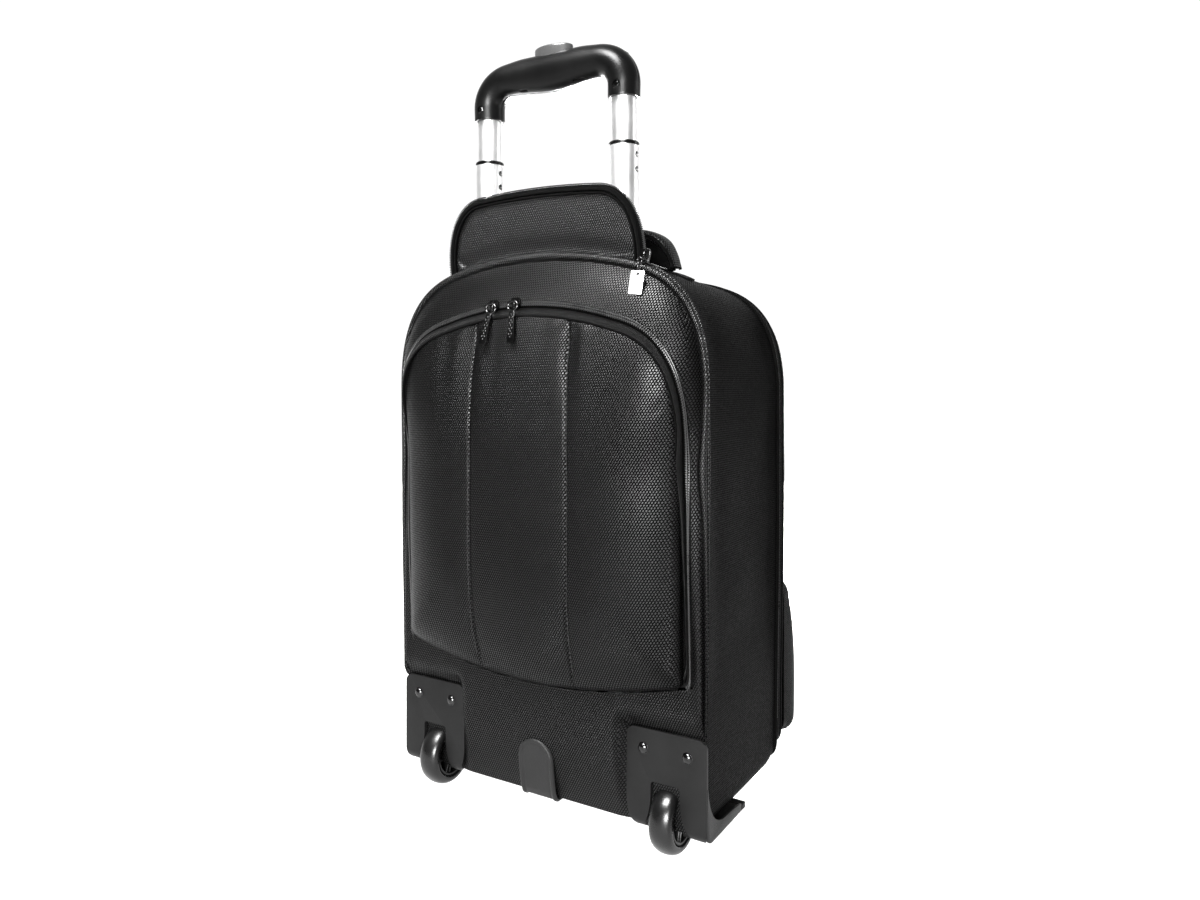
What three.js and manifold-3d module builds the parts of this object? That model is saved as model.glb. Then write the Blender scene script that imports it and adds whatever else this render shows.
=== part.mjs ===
import * as THREE from 'three';
import { mergeVertices } from 'three/addons/utils/BufferGeometryUtils.js';
import Module from 'manifold-3d';

// A wheeled laptop case with a two-stage pull handle, in millimetres.
// X runs across the case, Y from the wheel side (front) to the back, Z up from the floor.

// ---- driving dimensions ----
const GAP = 0.35; // air between neighbouring pieces

// case body
const HALF_WIDTH = 163;
const FOOT_WIDTH = 160.5; // half width at the base, where the bag narrows
const BASE_Z = 24.5;
const TOP_Z = 509;
const CROWN_X = 95; // where the top's crown meets the shoulders
const CROWN_DROP = 12;
const SHOULDER_Z = 390;
const FRONT_Y = -91.5; // outer face of the shell's front wall
const REAR_DROP = 9; // how much lower the top is at the back
const SHELL_REAR_Y = 76;
const COVER_Y = 80;
const COVER_BACK_Y = 105;
const POCKET_BACK_Y = 136.9;
const WALL = 3;
const BAG_CORNER = 14;
const BAG_LIFT = 65; // how far the shoulder's curve is drawn up
const EDGE_LOW_Y = -93.4; // depth of the front edge near the base
const EDGE_HIGH_Y = -95;

// pocket that the handle sinks into
const WELL_HALF = 100;
const WELL_BACK_Y = -44;
const POCKET_LINER = 3;

// pocket on the back
const REAR_POCKET_HALF = 153;
const REAR_POCKET_BASE_Z = 66;
const REAR_POCKET_TOP_Z = 197;
const REAR_POCKET_ROUND = 16;
const REAR_MOUTH_HALF = 125;

// stiffeners inside the case
const BOARD_HALF = 118;
const BOARD_Y = [-57.5, -55.5];
const BOARD_Z = [72, 430];
const DIVIDER_HALF = 150;
const DIVIDER_Y = [42, 47];
const DIVIDER_Z = [46, 340];
const TRAY_HALF = 100;
const TRAY_BACK_Y = 45;
const SOCKET_HALF = 18;
const SOCKET_DEPTH = 18;

// front panel and its zip
const PANEL_HALF = 150;
const PANEL_SHOULDER_Z = 365;
const PANEL_TOP_Z = 463;
const PANEL_CROWN_X = 90;
const PANEL_CROWN_DROP = 13.5;
const PANEL_SEAM_Z = 127; // bottom seam at the middle
const PANEL_SEAM_RISE = 19; // bottom seam at the sides
const PANEL_CENTRE_Z = 295;
const PANEL_FRONT_Y = -137;
const PANEL_THICK = 7;
const ZIP_TOP_Y = -118;
const ZIP_LEG_Y = -103;
const ZIP_FOOT_Y = -99;
const SEAM_BULGE = 9;
const ZIP_WIDTH = 5.4;

// pull handle
const TUBE_X = 74.4;
const TUBE_Y = -74;
const OUTER_R = 14.8;
const MID_R = 13.3;
const UPPER_R = 11.3;
const TUBE_WALL = 1.2;
const MID_TOP_Z = 604.6;
const MID_BOTTOM_Z = 195;
const UPPER_TOP_Z = 664;
const UPPER_BOTTOM_Z = 262;
const POCKET_FLOOR_Z = 448;
const GRIP_BOTTOM_Z = 643.5;
const GRIP_BAR_Z = 679.5;
const GRIP_CORNER_R = 24;
const LOCK_HOLE_R = 3;
const LOCK_HOLES_Z = [593, 580];
const BUTTON_TRAVEL = 4;

// wheels and brackets
const WHEEL_X = 125.4;
const WHEEL_Y = -79.4;
const WHEEL_R = 29.3;
const TYRE_HALF = 11.6;
const RIM_R = 20.5;
const AXLE_R = 4;
const BRACKET_IN = 88.8;
const BRACKET_TOP_Z = 104.7;
const BRACKET_Y = -95;
const PLATE = 3.2;
const SKID_Z = 19;
const SKID_END_Y = -22;
const WELL_IN = 111.9;
const WELL_OUT = 138.9;
const WELL_TOP_Z = 61.7;
const WELL_REAR_Y = -46;
const RIVET_Z = 87.9;
const RIVET_X = [104.9, 145.9];
const RIVET_R = 5;
const CAP_DEPTH = 10;
const REAR_FOOT_X = 118;
const REAR_FOOT_Y = 34;
const GUARD_HALF = 19;
const GUARD_ARCH_Z = 58;

// ---- materials ----
const paint = (color, roughness, metalness = 0) =>
  new THREE.MeshStandardMaterial({ color, roughness, metalness });
const MATERIALS = {
  twill: () => paint(0x1c1c1d, 0.85),
  lining: () => paint(0x2a2b2d, 0.9),
  zip: () => paint(0x0e0e0f, 0.5),
  board: () => paint(0x202022, 0.7),
  plastic: () => paint(0x3a3b3d, 0.55),
  gloss: () => paint(0x151516, 0.3),
  tube: () => paint(0xc9cbce, 0.35, 0.9),
  steel: () => paint(0x8b8d90, 0.35, 1),
  dark_metal: () => paint(0x2b2c2e, 0.35, 0.9),
  chrome: () => paint(0xd4d6d8, 0.2, 1),
  rubber: () => paint(0x111112, 0.35),
};

// ---- geometry helpers ----
const wasm = await Module();
wasm.setup();
const group = new THREE.Group();

function signedVolume(geometry) {
  const p = geometry.attributes.position;
  const index = geometry.index;
  const [a, b, c] = [new THREE.Vector3(), new THREE.Vector3(), new THREE.Vector3()];
  let sum = 0;
  for (let i = 0; i < index.count; i += 3) {
    a.fromBufferAttribute(p, index.getX(i));
    b.fromBufferAttribute(p, index.getX(i + 1));
    c.fromBufferAttribute(p, index.getX(i + 2));
    sum += a.dot(b.cross(c));
  }
  return sum / 6;
}

// Merged vertices, position only, and faces turned outward.
function closed(geometry) {
  const bare = geometry.clone();
  bare.deleteAttribute('normal');
  bare.deleteAttribute('uv');
  const merged = mergeVertices(bare, 1e-4);
  if (signedVolume(merged) < 0) {
    const order = merged.index.array;
    for (let i = 0; i < order.length; i += 3) {
      [order[i], order[i + 1]] = [order[i + 1], order[i]];
    }
  }
  return merged;
}

function solid(geometry) {
  const mesh = closed(geometry);
  return new wasm.Manifold(new wasm.Mesh({
    numProp: 3,
    vertProperties: new Float32Array(mesh.attributes.position.array),
    triVerts: new Uint32Array(mesh.index.array),
  }));
}

function fromSolid(body) {
  const mesh = body.getMesh();
  const geometry = new THREE.BufferGeometry();
  const points = new Float32Array(mesh.numVert * 3);
  for (let i = 0; i < mesh.numVert; i += 1) {
    for (let k = 0; k < 3; k += 1) points[3 * i + k] = mesh.vertProperties[mesh.numProp * i + k];
  }
  geometry.setAttribute('position', new THREE.BufferAttribute(points, 3));
  geometry.setIndex(new THREE.BufferAttribute(new Uint32Array(mesh.triVerts), 1));
  return geometry;
}

const join = (first, ...rest) => rest.reduce((body, next) => body.add(next), first);
const cut = (first, ...rest) => rest.reduce((body, next) => body.subtract(next), first);

function add(name, shape, material) {
  const geometry = closed(shape.isBufferGeometry ? shape : fromSolid(shape));
  geometry.computeVertexNormals();
  const mesh = new THREE.Mesh(geometry, MATERIALS[material]());
  mesh.name = name;
  group.add(mesh);
  return mesh;
}

function box([x0, x1], [y0, y1], [z0, z1]) {
  return new THREE.BoxGeometry(x1 - x0, y1 - y0, z1 - z0)
    .translate((x0 + x1) / 2, (y0 + y1) / 2, (z0 + z1) / 2);
}
const block = (xs, ys, zs) => solid(box(xs, ys, zs));
// The same block on the left or the right side.
const sideBlock = (side, [x0, x1], ys, zs) => block(side > 0 ? [x0, x1] : [-x1, -x0], ys, zs);

const rodZ = (r, [z0, z1], x, y, n = 20) =>
  new THREE.CylinderGeometry(r, r, z1 - z0, n).rotateX(Math.PI / 2).translate(x, y, (z0 + z1) / 2);
const rodX = (r, [x0, x1], y, z, n = 20) =>
  new THREE.CylinderGeometry(r, r, x1 - x0, n).rotateZ(Math.PI / 2).translate((x0 + x1) / 2, y, z);
const rodY = (r, [y0, y1], x, z, n = 20) =>
  new THREE.CylinderGeometry(r, r, y1 - y0, n).translate(x, (y0 + y1) / 2, z);

const turned = (profile, n = 24) =>
  new THREE.LatheGeometry(profile.map(([r, h]) => new THREE.Vector2(r, h)), n);
// A turned piece with its axis along Z.
const turnedZ = (profile, x, y, n = 24) => turned(profile, n).rotateX(Math.PI / 2).translate(x, y, 0);
// A turned piece with its axis along X.
const turnedX = (profile, x, y, z, n = 32) => turned(profile, n).rotateZ(-Math.PI / 2).translate(x, y, z);

const ring = (rOut, rIn, [z0, z1], x, y, n = 20) =>
  turnedZ([[rIn, z0], [rOut, z0], [rOut, z1], [rIn, z1], [rIn, z0]], x, y, n);

// An outline in the YZ plane, drawn out along X.
function drawnX(outline, [x0, x1]) {
  const shape = new THREE.Shape(outline.map(([y, z]) => new THREE.Vector2(y, z)));
  return new THREE.ExtrudeGeometry(shape, { depth: x1 - x0, bevelEnabled: false })
    .applyMatrix4(new THREE.Matrix4().makeBasis(
      new THREE.Vector3(0, 1, 0), new THREE.Vector3(0, 0, 1), new THREE.Vector3(1, 0, 0)))
    .translate(x0, 0, 0);
}

// A shape in the XZ plane, drawn out along Y.
function drawnY(shape, [y0, y1], curveSegments = 6) {
  return new THREE.ExtrudeGeometry(shape, { depth: y1 - y0, bevelEnabled: false, curveSegments })
    .rotateX(Math.PI / 2).translate(0, y1, 0);
}

// Skins a row of matching loops. An open row is closed by a fan at each end.
function loft(loops, cyclic = false) {
  const n = loops[0].length;
  const points = loops.flat();
  const faces = [];
  const rows = cyclic ? loops.length : loops.length - 1;
  for (let i = 0; i < rows; i += 1) {
    const a = i * n;
    const b = ((i + 1) % loops.length) * n;
    for (let k = 0; k < n; k += 1) {
      const next = (k + 1) % n;
      faces.push(a + k, a + next, b + next, a + k, b + next, b + k);
    }
  }
  if (!cyclic) {
    [[0, true], [loops.length - 1, false]].forEach(([row, first]) => {
      const middle = new THREE.Vector3();
      loops[row].forEach((p) => middle.addScaledVector(p, 1 / n));
      const hub = points.push(middle) - 1;
      for (let k = 0; k < n; k += 1) {
        const [p, q] = [row * n + k, row * n + (k + 1) % n];
        faces.push(...(first ? [q, p, hub] : [p, q, hub]));
      }
    });
  }
  const geometry = new THREE.BufferGeometry().setFromPoints(points);
  geometry.setIndex(faces);
  return geometry;
}

const smooth = (low, high, value) => THREE.MathUtils.smoothstep(value, low, high);
const mix = (a, b, t) => a + (b - a) * t;

// ---- outlines, as [x, z] points from the bottom middle, up the right side and back round ----
function mirrored(half) {
  const left = half.slice(1, -1).reverse().map(([x, z]) => [-x, z]);
  return [...half, ...left];
}

function outline({ half, foot, base, rise = 0, corner, shoulder, lift, crownX, crownZ, top }) {
  const points = [];
  const low = base + rise;
  for (let i = 0; i < 4; i += 1) {
    const x = (foot - corner) * i / 4;
    points.push([x, base + rise * (x / foot) ** 2]);
  }
  for (let i = 0; i <= 4; i += 1) {
    const a = (Math.PI / 2) * i / 4;
    points.push([foot - corner + corner * Math.sin(a), low + corner - corner * Math.cos(a)]);
  }
  for (let i = 1; i < 5; i += 1) {
    const z = mix(low + corner, shoulder, i / 5);
    points.push([mix(foot, half, smooth(low, shoulder - 100, z)), z]);
  }
  const round = new THREE.CubicBezierCurve(
    new THREE.Vector2(half, shoulder), new THREE.Vector2(half, shoulder + lift),
    new THREE.Vector2(crownX + (half - crownX) * 0.64, crownZ - lift * 0.18),
    new THREE.Vector2(crownX, crownZ));
  round.getPoints(6).forEach((p) => points.push([p.x, p.y]));
  for (let i = 1; i <= 3; i += 1) {
    const x = crownX * (1 - i / 3);
    points.push([x, top - (top - crownZ) * (x / crownX) ** 2]);
  }
  return mirrored(points);
}

// The bag's cross-section at a depth y, drawn in by inset.
function bagSection(y, inset = 0) {
  const back = smooth(FRONT_Y, SHELL_REAR_Y, y) * 0.999;
  const drop = REAR_DROP * (y - FRONT_Y) / (SHELL_REAR_Y - FRONT_Y);
  const tail = Math.max(0, y - 50);
  const base = BASE_Z + 0.0138 * tail ** 2;
  const rounding = Math.max(0, y - COVER_Y - 10) ** 2 * 0.068;
  const pull = inset + rounding;
  return outline({
    half: HALF_WIDTH - 1.5 - pull,
    foot: FOOT_WIDTH - 1.5 - pull,
    base: base + pull,
    corner: BAG_CORNER,
    shoulder: SHOULDER_Z - 8 * back,
    lift: BAG_LIFT,
    crownX: CROWN_X,
    crownZ: TOP_Z - CROWN_DROP - drop - pull,
    top: TOP_Z - drop - pull,
  }).map(([x, z]) => new THREE.Vector3(x, y, z));
}
const bagLoft = (depths, inset) => solid(loft(depths.map((y) => bagSection(y, inset))));

const FRONT_LOOP = outline({
  half: HALF_WIDTH,
  foot: FOOT_WIDTH,
  base: BASE_Z,
  corner: BAG_CORNER,
  shoulder: SHOULDER_Z,
  lift: BAG_LIFT,
  crownX: CROWN_X,
  crownZ: TOP_Z - CROWN_DROP,
  top: TOP_Z,
});

// The line of the U-shaped zip and the seam under the panel, drawn in by inset.
function panelLoop(inset) {
  return outline({
    half: PANEL_HALF - inset,
    foot: PANEL_HALF - inset,
    base: PANEL_SEAM_Z + inset,
    rise: PANEL_SEAM_RISE,
    corner: 5,
    shoulder: PANEL_SHOULDER_Z,
    lift: 50,
    crownX: PANEL_CROWN_X,
    crownZ: PANEL_TOP_Z - PANEL_CROWN_DROP - inset,
    top: PANEL_TOP_Z - inset,
  });
}

// How far forward the front fabric stands along the zip and the seam.
function zipY(x, z) {
  const legs = mix(ZIP_LEG_Y, ZIP_TOP_Y, smooth(320, 432, z));
  const seamEnd = mix(ZIP_FOOT_Y, legs, smooth(150, 260, z));
  const onSeam = z < PANEL_SEAM_Z + PANEL_SEAM_RISE + 2;
  return seamEnd - (onSeam ? SEAM_BULGE * (1 - (x / PANEL_HALF) ** 2) : 0);
}

// ---- soft body ----
const wheelWell = (side, grow) => sideBlock(side,
  [WELL_IN - 3.2 - grow, WELL_OUT + 3.2 + grow], [FRONT_Y - 20, WELL_REAR_Y + 0.8 + grow],
  [0, WELL_TOP_Z + 3.5 + grow]);

const bracketEnvelope = (side) => sideBlock(side,
  [BRACKET_IN - 0.8, HALF_WIDTH + 5], [-130, BRACKET_Y + PLATE + 0.3], [-10, BRACKET_TOP_Z + 0.8]);

function bagShell() {
  const outer = bagLoft([FRONT_Y, -20, 50, 64, SHELL_REAR_Y], 0);
  let cavity = bagLoft([FRONT_Y + 2, -20, 50, 64, SHELL_REAR_Y, SHELL_REAR_Y + 4], WALL);
  [-1, 1].forEach((side) => {
    cavity = cut(cavity, wheelWell(side, WALL));
  });
  const linerHalf = WELL_HALF + POCKET_LINER;
  const pocketLiner = block([-linerHalf, linerHalf], [FRONT_Y - 5, WELL_BACK_Y + POCKET_LINER],
    [POCKET_FLOOR_Z - 2.5, TOP_Z + 20]);
  const pocket = block([-WELL_HALF, WELL_HALF], [FRONT_Y + 1.2, WELL_BACK_Y],
    [POCKET_FLOOR_Z, TOP_Z + 20]);
  let shell = cut(outer, cut(cavity, pocketLiner), pocket);
  [-1, 1].forEach((side) => {
    shell = cut(shell, wheelWell(side, 0));
    shell = cut(shell, solid(rodZ(MID_R + 0.7, [POCKET_FLOOR_Z - 5, POCKET_FLOOR_Z + 5],
      side * TUBE_X, TUBE_Y, 20)));
  });
  return shell;
}
add('bag_shell', bagShell(), 'twill');

// The raised fabric band between the case's edge and the front panel.
function frontFrame() {
  const inner = panelLoop(-ZIP_WIDTH / 2 - GAP);
  const steps = [0, 0.4, 0.75, 1];
  const sections = FRONT_LOOP.map(([xo, zo], i) => {
    const [xi, zi] = inner[i];
    const edgeY = mix(EDGE_LOW_Y, EDGE_HIGH_Y, smooth(150, 300, zo));
    const seamY = zipY(xi, zi);
    const front = steps.map((t) => {
      const y = mix(edgeY, seamY, t);
      return new THREE.Vector3(mix(xo, xi, t), y, mix(zo, zi, t));
    });
    const back = front.map((p, k) => p.clone().setY(Math.min(FRONT_Y - GAP, p.y + 1.5 + 2 * steps[k])));
    return [...front, ...back.reverse()];
  });
  const frame = solid(loft(sections, true));
  return cut(frame, bracketEnvelope(-1), bracketEnvelope(1));
}
add('front_frame', frontFrame(), 'twill');

// The padded door of the front compartment: a crowned pad with an even thickness.
function panelDepth(x, z, t) {
  const edge = zipY(x, z) - 0.5;
  return mix(edge, PANEL_FRONT_Y, (1 - t ** 4) ** 0.6);
}
function frontPanel() {
  const edge = panelLoop(ZIP_WIDTH / 2 + GAP);
  const steps = [0.3, 0.7, 0.9, 1];
  const ringAt = (t, back) => edge.map(([x, z]) => new THREE.Vector3(
    x * t, panelDepth(x, z, t) + back, mix(PANEL_CENTRE_Z, z, t)));
  return loft([
    ...steps.map((t) => ringAt(t, 0)),
    ...[...steps].reverse().map((t) => ringAt(t * 0.985, PANEL_THICK)),
  ]);
}
add('front_panel', frontPanel(), 'twill');

// A flat strip that follows a list of points, with its width and depth given at each.
function strip(points, width, depth) {
  return loft(points.map((p, i) => {
    const before = points[Math.max(0, i - 1)];
    const after = points[Math.min(points.length - 1, i + 1)];
    const along = after.clone().sub(before).setY(0).normalize();
    const out = new THREE.Vector3(along.z, 0, -along.x).multiplyScalar(width / 2);
    const deep = new THREE.Vector3(0, depth / 2, 0);
    return [
      p.clone().add(out).add(deep),
      p.clone().add(out).sub(deep),
      p.clone().sub(out).sub(deep),
      p.clone().sub(out).add(deep),
    ];
  }));
}

// Splits a closed outline into the open run above a height, left leg first.
function openRun(loop, low) {
  const right = loop.slice(0, loop.length / 2 + 1).filter(([, z]) => z > low);
  return [...right.slice(1).map(([x, z]) => [-x, z]), ...right.reverse()]
    .filter(([x, z], i, all) => i === 0 || x !== all[i - 1][0] || z !== all[i - 1][1]);
}

const uZipRun = openRun(panelLoop(0), PANEL_SEAM_Z + PANEL_SEAM_RISE + 2);
add('front_zip_track', strip(uZipRun.map(([x, z]) => new THREE.Vector3(x, zipY(x, z) + 1, z)),
  ZIP_WIDTH - 2 * GAP, 2), 'zip');

const rearLoop = bagSection((SHELL_REAR_Y + COVER_Y) / 2, 2.2).map((p) => [p.x, p.z]);
add('main_zip_track', strip(openRun(rearLoop, 70)
  .map(([x, z]) => new THREE.Vector3(x, (SHELL_REAR_Y + COVER_Y) / 2, z)),
3, COVER_Y - SHELL_REAR_Y - 2 * GAP), 'zip');

// ---- back cover and its pocket ----
function backCover() {
  const outer = bagLoft([COVER_Y, 90, 99, COVER_BACK_Y], 0);
  const hollow = bagLoft([COVER_Y - 4, COVER_Y, 90, 99], WALL);
  return cut(outer, hollow);
}
add('back_cover', backCover(), 'twill');

function pocketSection(y, inset) {
  const t = (y - COVER_BACK_Y) / (POCKET_BACK_Y - COVER_BACK_Y);
  const half = REAR_POCKET_HALF - 22 * t ** 3 - inset;
  const base = REAR_POCKET_BASE_Z + 34 * t ** 2 + inset;
  const top = REAR_POCKET_TOP_Z - 24 * t ** 3 - inset;
  const round = REAR_POCKET_ROUND;
  const corners = [[half - round, base + round, -1], [half - round, top - round, 0]];
  const right = corners.flatMap(([x, z, quarter]) => [0, 1, 2, 3].map((i) => {
    const a = (Math.PI / 2) * (quarter + i / 3);
    return [x + round * Math.cos(a), z + round * Math.sin(a)];
  }));
  return [...right, ...[...right].reverse().map(([x, z]) => [-x, z])]
    .map(([x, z]) => new THREE.Vector3(x, y, z));
}
function rearPocket() {
  const depths = [COVER_BACK_Y + GAP, 118, 128, 134, POCKET_BACK_Y];
  const outer = solid(loft(depths.map((y) => pocketSection(y, 0))));
  const inside = solid(loft([COVER_BACK_Y + 3, 118, 128, 134].map((y) => pocketSection(y, 3.5))));
  const mouth = block([-REAR_MOUTH_HALF, REAR_MOUTH_HALF], [COVER_BACK_Y + 4, 124],
    [REAR_POCKET_TOP_Z - 17, REAR_POCKET_TOP_Z + 13]);
  return cut(outer, inside, mouth);
}
add('rear_pocket', rearPocket(), 'twill');

// ---- inside the case ----
add('handle_board', box([-BOARD_HALF, BOARD_HALF], BOARD_Y, BOARD_Z), 'board');
add('laptop_divider', box([-DIVIDER_HALF, DIVIDER_HALF], DIVIDER_Y, DIVIDER_Z), 'lining');

// ---- pull handle ----
// The moulded tray in the bottom of the case, with a socket for each tube.
const TRAY_Z = BASE_Z + WALL + GAP;
const TRAY_THICK = 3;
function baseTray() {
  let tray = block([-TRAY_HALF, TRAY_HALF], [FRONT_Y + WALL, TRAY_BACK_Y], [TRAY_Z, TRAY_Z + TRAY_THICK]);
  [-1, 1].forEach((side) => {
    const x = side * TUBE_X;
    tray = join(tray, block([x - SOCKET_HALF, x + SOCKET_HALF], [-88.9, -57.9],
      [TRAY_Z, TRAY_Z + SOCKET_DEPTH]));
    tray = cut(tray, solid(rodZ(OUTER_R + GAP, [TRAY_Z + TRAY_THICK, TRAY_Z + SOCKET_DEPTH + 7],
      x, TUBE_Y, 20)));
  });
  return tray;
}
add('base_tray', baseTray(), 'plastic');

function bezel() {
  let plate = block([-WELL_HALF + 3, WELL_HALF - 3], [FRONT_Y + 1.7, WELL_BACK_Y - 2],
    [POCKET_FLOOR_Z + GAP, POCKET_FLOOR_Z + 8]);
  [-1, 1].forEach((side) => {
    plate = cut(plate, solid(rodZ(MID_R + 0.3, [POCKET_FLOOR_Z - 5, POCKET_FLOOR_Z + 12],
      side * TUBE_X, TUBE_Y, 20)));
  });
  return plate;
}
add('handle_bezel', bezel(), 'plastic');

const footTop = TRAY_Z + TRAY_THICK;
[['left', -1], ['right', 1]].forEach(([name, side]) => {
  const x = side * TUBE_X;
  add(`outer_tube_${name}`, ring(OUTER_R, OUTER_R - TUBE_WALL, [footTop + GAP, POCKET_FLOOR_Z - 3],
    x, TUBE_Y), 'tube');

  let mid = solid(ring(MID_R, MID_R - TUBE_WALL, [MID_BOTTOM_Z, MID_TOP_Z - 3.3], x, TUBE_Y));
  [...LOCK_HOLES_Z, UPPER_BOTTOM_Z - 12].forEach((z) => {
    mid = cut(mid, solid(rodX(LOCK_HOLE_R, [x + 6, x + MID_R + 4], TUBE_Y, z, 12)));
  });
  add(`mid_tube_${name}`, mid, 'tube');
  add(`mid_collar_${name}`, ring(MID_R + 0.2, UPPER_R + 0.3, [MID_TOP_Z - 3, MID_TOP_Z], x, TUBE_Y),
    'gloss');
  add(`mid_guide_${name}`, ring(OUTER_R - TUBE_WALL - 0.3, 8, [MID_BOTTOM_Z - 14, MID_BOTTOM_Z - GAP],
    x, TUBE_Y), 'plastic');

  add(`upper_tube_${name}`, ring(UPPER_R, UPPER_R - TUBE_WALL, [UPPER_BOTTOM_Z, UPPER_TOP_Z],
    x, TUBE_Y), 'tube');
  const guideR = MID_R - TUBE_WALL - 0.3;
  let guide = solid(turnedZ([
    [2.8, UPPER_BOTTOM_Z - 20], [guideR, UPPER_BOTTOM_Z - 20], [guideR, UPPER_BOTTOM_Z - GAP],
    [UPPER_R - TUBE_WALL - 0.3, UPPER_BOTTOM_Z - GAP], [UPPER_R - TUBE_WALL - 0.3, UPPER_BOTTOM_Z + 12],
    [2.8, UPPER_BOTTOM_Z + 12], [2.8, UPPER_BOTTOM_Z - 20]], x, TUBE_Y, 20));
  guide = cut(guide, solid(rodX(2.8, [x, x + 20], TUBE_Y, UPPER_BOTTOM_Z - 12, 12)));
  add(`upper_guide_${name}`, guide, 'plastic');
  add(`lock_pin_${name}`, rodX(2.4, [x + 3.6, x + UPPER_R + 0.1], TUBE_Y, UPPER_BOTTOM_Z - 12, 12),
    'steel');
});

// The grip is a bent bar with oval sections, thicker at the middle of its underside.
function gripSections() {
  const left = new THREE.Vector2(-TUBE_X, GRIP_BOTTOM_Z);
  const path = new THREE.CurvePath();
  const turnZ = GRIP_BAR_Z - GRIP_CORNER_R;
  path.add(new THREE.LineCurve(left, new THREE.Vector2(-TUBE_X, turnZ)));
  const corner = (x, start, clockwiseEnd) =>
    new THREE.EllipseCurve(x, turnZ, GRIP_CORNER_R, GRIP_CORNER_R, start, clockwiseEnd, true);
  path.add(corner(-TUBE_X + GRIP_CORNER_R, Math.PI, Math.PI / 2));
  path.add(new THREE.LineCurve(new THREE.Vector2(-TUBE_X + GRIP_CORNER_R, GRIP_BAR_Z),
    new THREE.Vector2(TUBE_X - GRIP_CORNER_R, GRIP_BAR_Z)));
  path.add(corner(TUBE_X - GRIP_CORNER_R, Math.PI / 2, 0));
  path.add(new THREE.LineCurve(new THREE.Vector2(TUBE_X, turnZ), new THREE.Vector2(TUBE_X, GRIP_BOTTOM_Z)));
  const count = 28;
  const sections = [];
  for (let i = 0; i <= count; i += 1) {
    const u = i / count;
    const p = path.getPointAt(u);
    const tangent = path.getTangentAt(u);
    const out = new THREE.Vector2(-tangent.y, tangent.x);
    const middle = 1 - Math.min(1, Math.abs(p.x) / 50);
    const leg = 1 - smooth(GRIP_BOTTOM_Z, GRIP_BAR_Z - 12, p.y);
    const rOut = mix(17.2, 14.2, leg);
    const rIn = mix(14 + 3.8 * smooth(0, 1, middle), 14.2, leg);
    const rDepth = mix(15.4, 14.6, leg);
    const section = [];
    for (let k = 0; k < 14; k += 1) {
      const a = (2 * Math.PI * k) / 14;
      const reach = Math.cos(a) * (Math.cos(a) > 0 ? rOut : rIn);
      section.push(new THREE.Vector3(p.x + out.x * reach, TUBE_Y + rDepth * Math.sin(a),
        p.y + out.y * reach));
    }
    sections.push(section);
  }
  return sections;
}
function grip() {
  let body = solid(loft(gripSections()));
  [-1, 1].forEach((side) => {
    const x = side * TUBE_X;
    body = cut(body, solid(rodZ(UPPER_R + GAP, [GRIP_BOTTOM_Z - 5, UPPER_TOP_Z + 1], x, TUBE_Y, 20)));
    body = cut(body, solid(rodZ(5, [UPPER_TOP_Z, GRIP_BAR_Z + 3], x, TUBE_Y, 12)));
  });
  const channel = block([-TUBE_X - 4, TUBE_X + 4], [TUBE_Y - 4, TUBE_Y + 4],
    [GRIP_BAR_Z - 8, GRIP_BAR_Z + 5]);
  const hole = solid(rodZ(1, [GRIP_BAR_Z, GRIP_BAR_Z + 30], 0, 0, 24));
  return cut(body, channel, hole.scale([20.9, 10.4, 1]).translate([0, TUBE_Y, 0]));
}
const wholeGrip = grip();
const gripFront = cut(wholeGrip, block([-200, 200], [TUBE_Y - 0.15, 0], [500, 800]));
const gripRear = cut(wholeGrip, block([-200, 200], [-200, TUBE_Y + 0.15], [500, 800]));
const screwZ = GRIP_BOTTOM_Z + 12;
const screwSeat = (side, r, depth) => solid(rodY(r, [TUBE_Y - 30, TUBE_Y - 14.6 + depth],
  side * TUBE_X, screwZ, 12));
add('grip_front', cut(gripFront, screwSeat(-1, 3.2, 1.6), screwSeat(1, 3.2, 1.6)), 'gloss');
add('grip_rear', gripRear, 'gloss');
[['left', -1], ['right', 1]].forEach(([name, side]) => {
  add(`grip_screw_${name}`, rodY(2.7, [TUBE_Y - 14, TUBE_Y - 13.3], side * TUBE_X, screwZ, 12),
    'dark_metal');
});

// Button, with the yoke and the two rods that it pushes down the upper tubes.
function button() {
  const cap = solid(rodZ(1, [GRIP_BAR_Z + 6, GRIP_BAR_Z + 22.8], 0, 0, 24))
    .scale([20.3, 9.8, 1]).translate([0, TUBE_Y, 0]);
  const yoke = block([-TUBE_X - 3, TUBE_X + 3], [TUBE_Y - 3, TUBE_Y + 3],
    [GRIP_BAR_Z + 0.5, GRIP_BAR_Z + 4.2]);
  return join(cap, block([-6, 6], [TUBE_Y - 3, TUBE_Y + 3], [GRIP_BAR_Z + 1, GRIP_BAR_Z + 8]), yoke);
}
add('release_button', button(), 'plastic');
[['left', -1], ['right', 1]].forEach(([name, side]) => {
  add(`release_rod_${name}`, rodZ(2, [UPPER_BOTTOM_Z - 4, GRIP_BAR_Z + 0.1], side * TUBE_X, TUBE_Y, 10),
    'steel');
});
// A short coil spring under the button's stem, drawn as its sleeve.
add('button_spring', ring(2.6, 1.6, [GRIP_BAR_Z - 7.7, GRIP_BAR_Z - BUTTON_TRAVEL - 0.1], 0, TUBE_Y, 12),
  'steel');

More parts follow.
